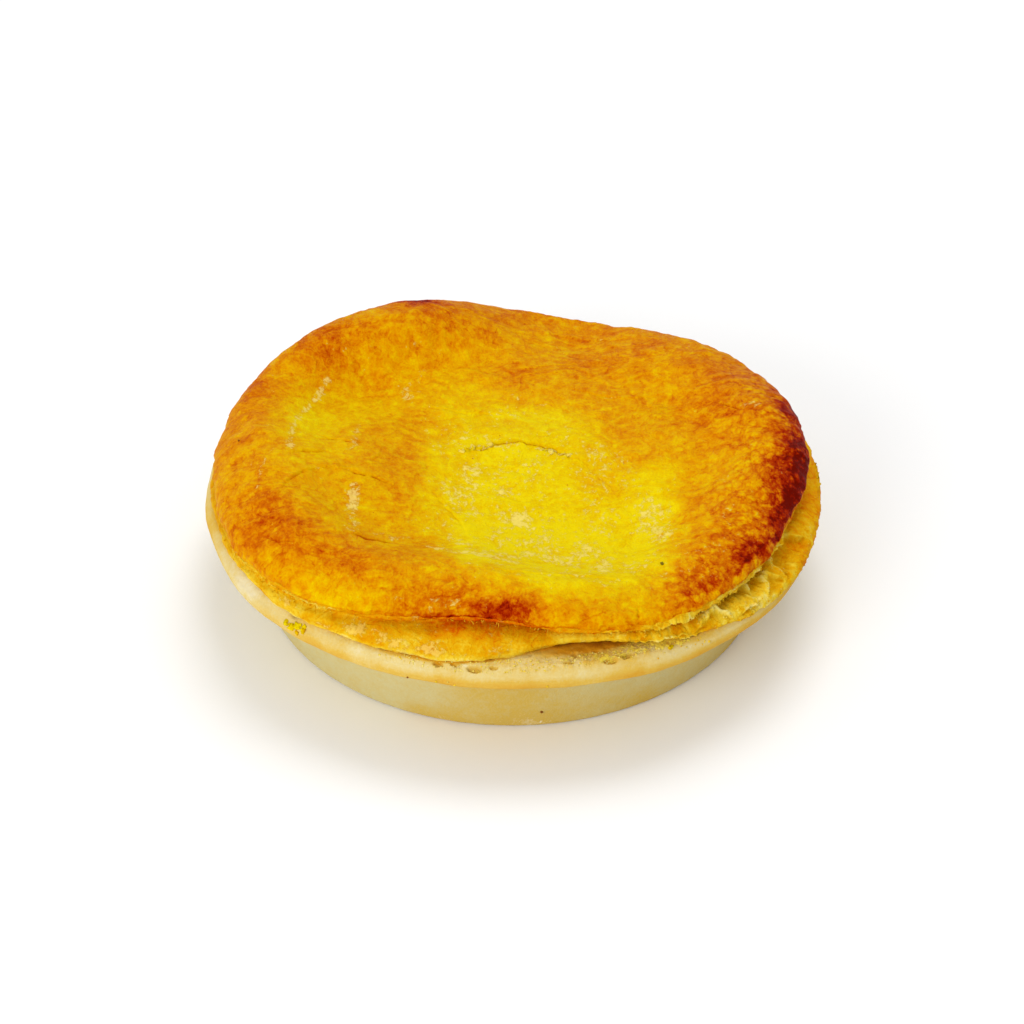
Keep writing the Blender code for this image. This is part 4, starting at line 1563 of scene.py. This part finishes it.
@dataclass(frozen=True)
class Case:
    """The shortcrust case: a flat base, a smooth sloping wall, and a pressed flange."""

    form: LidForm
    sides: int = 280
    underside: float = 17.2 * MM
    wall_top: float = 53.8 * MM
    base_radius: float = 49.6 * MM
    foot_round: float = 1.4 * MM
    hidden_radius: float = 45.0 * MM
    crumbly_radius: float = 58.7 * MM
    shown_arc: Pair = (232, 318)
    pale_arc: Pair = (282, 312)
    pits: Sequence[tuple[float, float, float]] = (
        (256.9, 58.5 * MM, 0.8 * MM), (259.6, 58.1 * MM, 0.5 * MM), (263.6, 58.6 * MM, 1 * MM),
        (266.8, 58.2 * MM, 0.6 * MM), (280, 57.6 * MM, 0.7 * MM), (287.4, 58.2 * MM, 1 * MM),
        (290.4, 57.9 * MM, 1 * MM),
    )
    flange_swells: Swells = (
        (322, 16, 1), (218, 16, 0.6), (297, 13, 1.3),
    )
    flange_browning: Swells = (
        (193, 11, 0.09), (214, 10, -0.09), (230, 12, 0.06), (272, 22, 0.03), (318, 26, 0.02),
        (20, 40, 0.06),
    )
    edge_browning: Swells = ((262, 20, 0.11), (305, 24, 0.10), (350, 40, 0.10))
    tin_browning: Swells = ((268, 13, 0.12), (322, 14, 0.04))
    # Painted shade at the lower leaf's foot and in a band under the leaf.
    shaded_foot: Swells = ((258, 12, 0.34), (280, 12, 0.10), (304, 12, 0.10))
    shaded_arc: Pair = (276, 293)
    shaded_radius: float = 55.4 * MM
    rim_wave: Grain = Grain(0.25 * MM, 14.0 * MM, 2, 41.0)
    flange_lumps: Grain = Grain(0.10 * MM, 7.0 * MM, 3, 42.0)
    fine_lumps: Grain = Grain(0.04 * MM, 2.5 * MM, 3, 43.0)
    crumbs: Sequence[Grain] = (Grain(1, 1.5 * MM, 4, 44), Grain(0.5, 0.5 * MM, 2, 51))
    crumb_relief: float = 0.17 * MM
    crumb_rise: float = 0.42 * MM
    pit_patches: Grain = Grain(1.0, 6.0 * MM, 2, 45.0)
    small_pit: Pair = (3 * MM, 0.8 * MM)
    pressed_lines: Sequence[Pair] = (
        (19.9 * MM, 0.10 * MM), (20.8 * MM, 0.07 * MM), (18.8 * MM, 0.06 * MM),
    )
    line_width: float = 0.22 * MM
    mottle: Grain = Grain(0.10, 9.0 * MM, 3, 47.0)
    tin_mottle: Grain = Grain(0.05, 14.0 * MM, 2, 48.0)
    foot_patches: Grain = Grain(1.0, 25.0 * MM, 2, 49.0)

    def build(self) -> Piece:
        """Draws the case out of a ring on its top, round the rim and down to the base."""
        half = 0.5 * (FLANGE_TOP - self.underside)
        cage = RingCage("pie_case", self.sides, self.hidden_radius, FLANGE_TOP)
        cage.draw_rows(FLANGE_RADIUS - half, FLANGE_TOP, 14)
        cage.draw_round((FLANGE_RADIUS - half, FLANGE_TOP - half), half, (90.0, -90.0), 14)
        cage.draw_rows(self.wall_top, self.underside, 4)
        foot_centre = self.base_radius - self.foot_round
        turn = math.radians(-10.0)
        cage.draw_rows(
            foot_centre + self.foot_round * math.cos(turn),
            self.foot_round + self.foot_round * math.sin(turn),
            10,
        )
        cage.draw_round((foot_centre, self.foot_round), self.foot_round, (-10.0, -90.0), 4)
        cage.draw_rows(0.5 * self.base_radius, 0.0, 2)
        cage.close()
        cage.close_ring(self.hidden_radius, FLANGE_TOP)
        case = cage.lift_off()
        subdivide(case, 1)
        puck = places_of(case)
        radius, angle = polar(puck)
        shown = (within(angle, *self.shown_arc, 0.5) > 0.0) & (puck[:, 2] > self.underside + 0.5 * MM)
        refine(case, shown & (radius > 54.6 * MM), 2)
        self._shape(case)
        return settle(case)

    def _shape(self, case: Piece) -> None:
        """Swells the flange, crumbles its top, and paints the bake, with a painted highlight along the rim
        and painted shade at and under the lower leaf's foot.
        """
        places = places_of(case)
        radius, angle = polar(places)
        height = places[:, 2]
        out = unit((radius - self.wall_top) / (FLANGE_RADIUS - self.wall_top))
        stretch = out * MM * swelling(angle, self.flange_swells)
        path = round_path(angle, FLANGE_RADIUS)
        stretch += out * self.rim_wave.at(path)
        safe = np.maximum(radius, 1e-6)
        places[:, 0] *= 1.0 + stretch / safe
        places[:, 1] *= 1.0 + stretch / safe
        set_places(case, places)

        on_top = smooth(FLANGE_TOP - 1.1 * MM, FLANGE_TOP - 0.3 * MM, height)
        crumbly = on_top * smooth(self.crumbly_radius + 0.8 * MM, self.crumbly_radius - 0.8 * MM, radius)
        on_flange = smooth(self.underside - 0.2 * MM, self.underside + 0.4 * MM, height)
        relief = self.flange_lumps.at(places) * on_flange + self.fine_lumps.at(places)
        crumbs = layered(places, self.crumbs)
        relief += crumbly * (self.crumb_relief * crumbs + self.crumb_rise)
        pit_size, pit_depth = self.small_pit
        patchy = smooth(0.15, 0.5, self.pit_patches.at(places))
        small_pits = patchy * blisters(places * np.array([1.0, 1.0, 0.3]), pit_size, 9.0)
        relief -= crumbly * pit_depth * smooth(0.55, 0.95, small_pits)
        pitted = np.zeros(len(angle))
        for pit_angle, pit_radius, size in self.pits:
            along = (angle % 360.0 - pit_angle) * math.radians(1.0) * pit_radius / (1.5 * size)
            away = np.hypot(along, (radius - pit_radius) / (0.6 * size)) + 0.25 * crumbs
            relief -= on_top * 0.8 * size * smooth(1.0, 0.5, away)
            pitted = np.maximum(pitted, smooth(1.2, 0.5, away))
        side = on_flange * smooth(FLANGE_RADIUS - 1.6 * MM, FLANGE_RADIUS - 0.4 * MM, radius)
        for level, depth in self.pressed_lines:
            drift = 0.25 * MM * cloud(path, 12.0 * MM, 2, 46.0 + level / MM)
            present = smooth(-0.3, 0.3, cloud(path, 16.0 * MM, 2, 50.0 + level / MM))
            relief -= side * present * depth * bell(height, level + drift, self.line_width)
        hold = smooth(0.0, 0.3 * MM, height)
        push_out(case, relief * hold)

        wall = smooth(self.underside + 0.1 * MM, self.underside - 0.3 * MM, height)
        value = 0.42 + self.mottle.at(places)
        outer = smooth(FLANGE_TOP - 0.9 * MM, FLANGE_TOP - 2.6 * MM, height)
        value += (0.05 + swelling(angle, self.edge_browning)) * outer
        # A painted highlight along the top of the rim's rounding.
        value -= 0.04 * bell(height, FLANGE_TOP - 0.5 * MM, 0.7 * MM) * (1.0 - crumbly)
        value += swelling(angle, self.flange_browning)
        value += (0.08 * crumbs - 0.03 + 0.08 * within(angle, *self.pale_arc, 12.0)) * crumbly
        # Painted shade: a thin shadow line along the lower leaf's foot.
        foot = self.form.edge(np.zeros(len(angle)), angle)[0]
        at_foot = on_top * smooth(foot + 0.95 * MM, foot + 0.35 * MM, radius)
        value += swelling(angle, self.shaded_foot) * at_foot
        # Painted shade: a wider shadow band under the leaf on the front right, with no pale crumbs in it.
        inside = radius - self.shaded_radius + 0.5 * MM * crumbs
        shaded = smooth(0.9 * MM, -0.5 * MM, inside) * on_top * within(angle, *self.shaded_arc, 6.0)
        pale = within(angle, *self.pale_arc, 12.0) * crumbly * (1.0 - shaded)
        value += 0.29 * shaded - 0.03 * pale
        value = np.maximum(value, 0.29) + 0.14 * pitted * on_top
        tin = 0.03 + self.tin_mottle.at(places) + swelling(angle, self.tin_browning)
        tin += 0.11 * smooth(7.0 * MM, 0.5 * MM, height) * smooth(-0.2, 0.4, self.foot_patches.at(path))
        value = value * (1.0 - wall) + tin * wall
        paint(case, "browning", unit(value))
        paint(case, "dryness_and_glint", 0.1 * crumbly + 0.9 * pale)
        paint(case, "crumble", unit(0.15 + 0.4 * crumbly))


# ---------------------------------------------------------------- crumbs, flakes and threads


class Bit(Enum):
    """The kinds of small loose piece."""

    CRUMB = "crumb"
    FLAKE = "flake"
    THREAD = "thread"


class Spot(NamedTuple):
    """A place on a surface and the direction it faces."""

    place: Vector
    facing: Vector


class Ground:
    """The finished pieces that small things lie on."""

    def __init__(self, pieces: Sequence[Piece]) -> None:
        """Reads the pieces' surfaces."""
        graph = bpy.context.evaluated_depsgraph_get()
        self.trees = [BVHTree.FromObject(piece, graph) for piece in pieces]

    def _first(self, start: Vector, way: Vector) -> Spot | None:
        """The first spot of the surface that a straight line meets."""
        hits = [tree.ray_cast(start, way) for tree in self.trees]
        found = [(away, Spot(place, facing)) for place, facing, _, away in hits if place is not None]
        return min(found, key=lambda hit: hit[0])[1] if found else None

    def below(self, x: float, y: float) -> Spot | None:
        """The surface under a place on the plan, given in millimetres."""
        return self._first(Vector((x * MM, y * MM, 0.1)), Vector((0.0, 0.0, -1.0)))

    def beside(self, angle: float, height: float) -> Spot | None:
        """The surface that shows from outside at an angle and at a height in millimetres."""
        turn = math.radians(angle)
        out = Vector((math.cos(turn), math.sin(turn), 0.0))
        return self._first(out * 0.1 + Vector((0.0, 0.0, height * MM)), -out)


class Litter:
    """Small loose pieces of one kind, modelled a few times, then copied, turned and joined."""

    def __init__(self, name: str, bit: Bit, seed: int) -> None:
        """Models the patterns.

        Args:
            name: The joined piece's name.
            bit: What the pieces are.
            seed: Settles every random choice.
        """
        self.name = name
        self.random = random.Random(seed)
        makers = {Bit.CRUMB: self._crumb, Bit.FLAKE: self._flake, Bit.THREAD: self._thread}
        self.patterns = [makers[bit](seed + number) for number in range(4)]
        self.copies: list[Piece] = []

    @staticmethod
    def _crumb(seed: int) -> Piece:
        """A lump about 1 across."""
        crumb = add(bpy.ops.mesh.primitive_cube_add, "crumb", size=0.75)
        with editing(crumb):
            bpy.ops.mesh.subdivide(number_cuts=1, smoothness=0.6)
            bpy.ops.transform.vertex_random(offset=0.34, seed=seed)
        return crumb

    @staticmethod
    def _flake(seed: int) -> Piece:
        """A thin ragged scale about 1 across, with its rim curled up."""
        flake = add(bpy.ops.mesh.primitive_circle_add, "flake", vertices=9, radius=0.5, fill_type="TRIFAN")
        with editing(flake):
            bpy.ops.transform.vertex_random(offset=0.30, seed=seed)
            bpy.ops.transform.resize(value=(1.0, 1.0, 0.30))
            bpy.ops.mesh.extrude_region_shrink_fatten(TRANSFORM_OT_shrink_fatten={"value": -0.07})
            face_outwards()
        return flake

    @staticmethod
    def _thread(seed: int) -> Piece:
        """A bent fibre about 1 long, thinner at its ends."""
        bend = random.Random(seed)
        thread = add(bpy.ops.mesh.primitive_circle_add, "thread", vertices=5, radius=0.05, fill_type="NGON")
        with editing(thread):
            for share in (1.3, 1.0, 0.8, 0.5):
                drift = (bend.uniform(-0.11, 0.11), bend.uniform(-0.11, 0.11), 0.25)
                bpy.ops.mesh.extrude_region_move(TRANSFORM_OT_translate={"value": drift})
                bpy.ops.transform.resize(value=(share, share, 1.0))
            face_outwards()
        return thread

    def drop(
        self, spot: Spot | None, size: float, browning: float, lean: float = 0.25, dryness_and_glint: float = 0.25
    ) -> None:
        """Lays one piece on the surface.

        Args:
            spot: The surface; nothing is laid without one.
            size: The piece's width in millimetres.
            browning: Its place on its finish's scale.
            lean: How far it tips from the surface's direction, at random.
            dryness_and_glint: How dry and pale it is; its pale chips also stand in for painted glints.
        """
        if spot is None:
            return
        tip = Vector([self.random.gauss(0.0, lean) for _ in range(3)])
        turn = (spot.facing + tip).to_track_quat("Z", "Y").to_matrix()
        turn = turn @ Matrix.Rotation(self.random.uniform(0.0, math.tau), 3, "Z")
        copy = self.random.choice(self.patterns).copy()
        copy.data = copy.data.copy()
        bpy.context.collection.objects.link(copy)
        wide = [size * MM * self.random.uniform(0.7, 1.3) for _ in range(2)]
        tall = size * MM * self.random.uniform(0.6, 1.0)
        shape = turn @ Matrix.Diagonal((wide[0], wide[1], tall))
        copy.matrix_world = Matrix.Translation(spot.place + spot.facing * 0.05 * size * MM) @ shape.to_4x4()
        points = len(copy.data.vertices)
        paint(copy, "browning", np.full(points, browning + self.random.uniform(-0.08, 0.08)))
        paint(copy, "dryness_and_glint", np.full(points, dryness_and_glint * self.random.uniform(0.5, 1.5)))
        self.copies.append(copy)

    def gather(self) -> Piece:
        """Joins the copies into one piece and removes the patterns."""
        for pattern in self.patterns:
            bpy.data.objects.remove(pattern)
        take(self.copies[0])
        for copy in self.copies:
            copy.select_set(True)
        bpy.ops.object.join()
        piece = bpy.context.object
        piece.name = self.name
        piece.data.name = self.name
        return settle(piece)


@dataclass(frozen=True)
class Litters:
    """The crumbs, threads, flakes and burnt specks, each kind at the places where the pie shed them."""

    ground: Ground
    form: LidForm
    slit_ends: Sequence[Pair] = (
        (-9.4, 2), (-8.6, 2.2), (-7.8, 2.5), (-6.9, 2.8), (-6, 3), (-5, 3.4), (-4.2, 3.7), (4.9, 3.4),
        (5.8, 3), (6.6, 2.6), (7.4, 2.3), (8.4, 2.1), (9.4, 1.9), (10.2, 1.4), (10.8, 0.8),
    )
    yellow_crumbs: Sequence[Pair] = (
        (227, 59.9), (227.7, 59.8), (228.4, 59.7), (229.1, 59.8), (229.8, 59.6), (230.5, 59.7),
        (298.5, 58.9), (299.4, 58.8), (297.4, 59),
    )
    crumb_rise: float = 1.0 * MM
    rim_crumbs: Sequence[Pair] = ((257, 18.6), (260.2, 18.4), (259, 19), (276, 18.8))

    def build(self) -> dict[str, Piece]:
        """Lays every kind and returns the joined pieces by name."""
        return {
            "lip_crumbs": self._lip_crumbs(),
            "lip_threads": self._lip_threads(),
            "flange_crumbs": self._flange_crumbs(),
            "yellow_crumbs": self._yellow_crumbs(),
            "slit_flakes": self._slit_flakes(),
            "burnt_specks": self._burnt_specks(),
        }

    def _lip(self, angle: float) -> float:
        """The lip's height at an angle, in millimetres."""
        return float(self.form.lip(np.array([angle]))[0]) / MM

    def _round(self, angle: float, reach: float) -> Spot | None:
        """The surface under a place given by its angle and its distance from the axis in millimetres."""
        turn = math.radians(angle)
        return self.ground.below(reach * math.cos(turn), reach * math.sin(turn))

    def _on_flange(self, angle: float, reach: float) -> Spot | None:
        """The same, only where the flange is not covered by the leaves."""
        spot = self._round(angle, reach)
        return spot if spot and spot.place.z < FLANGE_TOP + self.crumb_rise else None

    def _lip_crumbs(self) -> Piece:
        """Golden crumbs along the lip and on the torn side."""
        litter = Litter("lip_crumbs", Bit.CRUMB, 11)
        dice = litter.random
        for _ in range(170):
            angle = dice.choice((dice.uniform(-158.0, -126.0), dice.uniform(-72.0, -22.0)))
            low = self._lip(angle)
            spot = self.ground.beside(angle, low - 0.9 - abs(dice.gauss(0.0, 0.8)))
            litter.drop(spot, dice.uniform(0.14, 0.36), dice.uniform(0.22, 0.45))
        for _ in range(140):
            angle = dice.uniform(-66.0, -20.0)
            low = self._lip(angle)
            spot = self.ground.beside(angle, dice.uniform(20.4, low - 0.9))
            litter.drop(spot, dice.uniform(0.16, 0.42), dice.uniform(0.15, 0.35))
        return litter.gather()

    def _lip_threads(self) -> Piece:
        """Short fibres that hang where the lip and the leaves tore."""
        litter = Litter("lip_threads", Bit.THREAD, 23)
        dice = litter.random
        for _ in range(130):
            left, front = dice.gauss(-138.0, 11.0), dice.uniform(-112.0, -62.0)
            angle = dice.choice((left, front, dice.gauss(-46.0, 10.0)))
            low = self._lip(angle)
            spot = self.ground.beside(angle, low - dice.uniform(0.4, 1.4))
            if spot:
                hang = (spot.facing * 0.4 + Vector((0.0, 0.0, -0.9))).normalized()
                litter.drop(spot._replace(facing=hang), dice.uniform(0.4, 1.0), 0.25, 0.45)
        for _ in range(110):
            spot = self._on_flange(dice.uniform(250.0, 296.0), dice.uniform(56.6, 59.2))
            litter.drop(spot, dice.uniform(0.4, 0.9), 0.15, 0.7)
        return litter.gather()

    def _flange_crumbs(self) -> Piece:
        """Crumbs on the flange's crumbly top and on its edge."""
        litter = Litter("flange_crumbs", Bit.CRUMB, 37)
        dice = litter.random
        for _ in range(420):
            spot = self._on_flange(dice.uniform(246.0, 300.0), dice.uniform(56.0, 59.2))
            litter.drop(spot, dice.uniform(0.14, 0.36), dice.uniform(0.0, 0.14))
        for angle, height in self.rim_crumbs:
            litter.drop(self.ground.beside(angle, height), dice.uniform(0.3, 0.6), 0.2)
        return litter.gather()

    def _yellow_crumbs(self) -> Piece:
        """Two small heaps of bright yellow crumbs that fell on the flange."""
        litter = Litter("yellow_crumbs", Bit.CRUMB, 43)
        dice = litter.random
        for angle, reach in self.yellow_crumbs:
            for _ in range(5):
                spot = self._on_flange(angle + dice.gauss(0.0, 0.4), reach + dice.gauss(0.0, 0.3))
                litter.drop(spot, dice.uniform(0.5, 1.0), 0.08)
        return litter.gather()

    def _slit_flakes(self) -> Piece:
        """Pale torn scales at both ends of the slit."""
        litter = Litter("slit_flakes", Bit.FLAKE, 53)
        dice = litter.random
        for x, y in self.slit_ends:
            for _ in range(2):
                spot = self.ground.below(x + dice.gauss(0.0, 0.4), y + dice.gauss(0.0, 0.3))
                litter.drop(spot, dice.uniform(0.6, 1.4), 0.02, 0.30, 1.6)
        return litter.gather()

    def _burnt_specks(self) -> Piece:
        """Dark specks that were baked in."""
        litter = Litter("burnt_specks", Bit.CRUMB, 67)
        dice = litter.random
        litter.drop(self.ground.below(-52.8, -1.3), 0.4, 0.3)
        for angle, height in ((251.8, 18.4), (276.2, 4.6)):
            litter.drop(self.ground.beside(angle, height), dice.uniform(0.3, 0.45), 0.3)
        return litter.gather()


@dataclass(frozen=True)
class HerbFleck:
    """One dried herb fleck, folded along its middle, on the front right of the floor."""

    ground: Ground
    place: Pair = (27.4, -36.8)
    length: float = 1.0 * MM
    width: float = 0.6 * MM
    turn: float = math.radians(25.0)

    def build(self) -> Piece:
        """Makes the fleck and lays it on the glaze."""
        spot = self.ground.below(*self.place)
        half = 0.5 * self.length
        fleck = add(
            bpy.ops.mesh.primitive_circle_add, "herb_fleck", vertices=12, radius=half, fill_type="TRIFAN"
        )
        with editing(fleck):
            bpy.ops.transform.resize(value=(1.0, self.width / self.length, 1.0))
            bpy.ops.mesh.subdivide(number_cuts=1)
            bpy.ops.transform.vertex_random(offset=0.05 * self.length, seed=5)
            pick(fleck, lambda point: abs(point.co.y) < 0.08 * self.length)
            bpy.ops.transform.translate(value=(0.0, 0.0, -0.12 * self.length))
            bpy.ops.mesh.select_all(action="SELECT")
            bpy.ops.mesh.extrude_region_shrink_fatten(TRANSFORM_OT_shrink_fatten={"value": -0.08 * MM})
            face_outwards()
        facing = spot.facing.to_track_quat("Z", "Y").to_matrix().to_4x4()
        lifted = Matrix.Translation(spot.place + spot.facing * 0.15 * MM)
        fleck.matrix_world = lifted @ facing @ Matrix.Rotation(self.turn, 4, "Z")
        settle(fleck)
        paint(fleck, "browning", np.full(len(fleck.data.vertices), 0.4))
        return fleck


# ---------------------------------------------------------------- studio


@dataclass(frozen=True)
class Studio:
    """The pale floor, the soft light and the camera."""

    elevation: float = 36.2
    distance: float = 0.5
    lens: float = 88.8
    aim_height: float = 13.4 * MM
    floor_size: float = 6.0

    def build(self) -> None:
        """Sets up the floor, the light and the camera."""
        bpy.context.scene.view_settings.view_transform = "Standard"
        self._floor()
        self._lights()
        self._camera()

    def _floor(self) -> None:
        """Lays the floor that the pie stands on."""
        plane = bpy.ops.mesh.primitive_plane_add
        floor = add(plane, "studio_floor", size=self.floor_size, location=(0.0, 0.0, -0.05 * MM))
        material = bpy.data.materials.new("studio_floor")
        material.use_nodes = True
        shader = material.node_tree.nodes["Principled BSDF"]
        shader.inputs["Base Color"].default_value = (0.93, 0.93, 0.93, 1.0)
        shader.inputs["Roughness"].default_value = 0.8
        shader.inputs["Specular IOR Level"].default_value = 0.2
        floor.data.materials.append(material)

    def _lights(self) -> None:
        """Hangs two soft lights in a white surround."""
        world = bpy.data.worlds.new("studio_surround")
        bpy.context.scene.world = world
        world.use_nodes = True
        back = world.node_tree.nodes["Background"]
        back.inputs["Color"].default_value = (1.0, 1.0, 1.0, 1.0)
        back.inputs["Strength"].default_value = 0.70
        for name, place, size, power in (
            ("overhead_light", (0.10, 0.30, 0.80), 0.5, 2.6),
            ("front_light", (-0.50, -0.75, 0.38), 0.6, 4.6),
        ):
            light = add(bpy.ops.object.light_add, name, type="AREA", location=place)
            light.data.shape = "DISK"
            light.data.size = size
            light.data.energy = power
            aim = Vector((0.0, 0.0, self.aim_height)) - light.location
            light.rotation_euler = aim.to_track_quat("-Z", "Y").to_euler()

    def _camera(self) -> None:
        """Places the camera at the height and distance that the rim's and the base's ellipses show."""
        up = math.radians(self.elevation)
        place = (0.0, -self.distance * math.cos(up), self.aim_height + self.distance * math.sin(up))
        tilt = (0.5 * math.pi - up, 0.0, 0.0)
        camera = add(bpy.ops.object.camera_add, "photo_camera", location=place, rotation=tilt)
        camera.data.lens = self.lens
        camera.data.sensor_width = 36.0
        camera.data.clip_start = 0.01
        bpy.context.scene.camera = camera


# ---------------------------------------------------------------- everything together


def main() -> None:
    """Builds the pie and its studio."""
    logging.basicConfig(level=logging.INFO, format="%(name)s %(message)s")
    Studio().build()
    effects = Effects()
    glazed, torn, crust, burnt, herb = (
        finish.build(effects) for finish in (GLAZED, TORN, CRUST, BURNT_SPECK, HERB)
    )
    case = Case(FORM).build()
    dress(case, crust, "shortcrust_case")
    upper = UpperLeaf(FORM).build()
    dress(upper, glazed, "puff_lid")
    lower = LowerLeaf(FORM).build()
    dress(lower, torn, "puff_lid")
    dress(LipShreds(FORM).build(), torn, "puff_lid")

    ground = Ground((case, upper, lower))
    finishes = {"slit_flakes": glazed, "yellow_crumbs": glazed, "burnt_specks": burnt}
    for name, piece in Litters(ground, FORM).build().items():
        dress(piece, finishes.get(name, torn), "puff_lid")
    dress(HerbFleck(ground).build(), herb, "puff_lid")


if __name__ == "__main__":
    main()
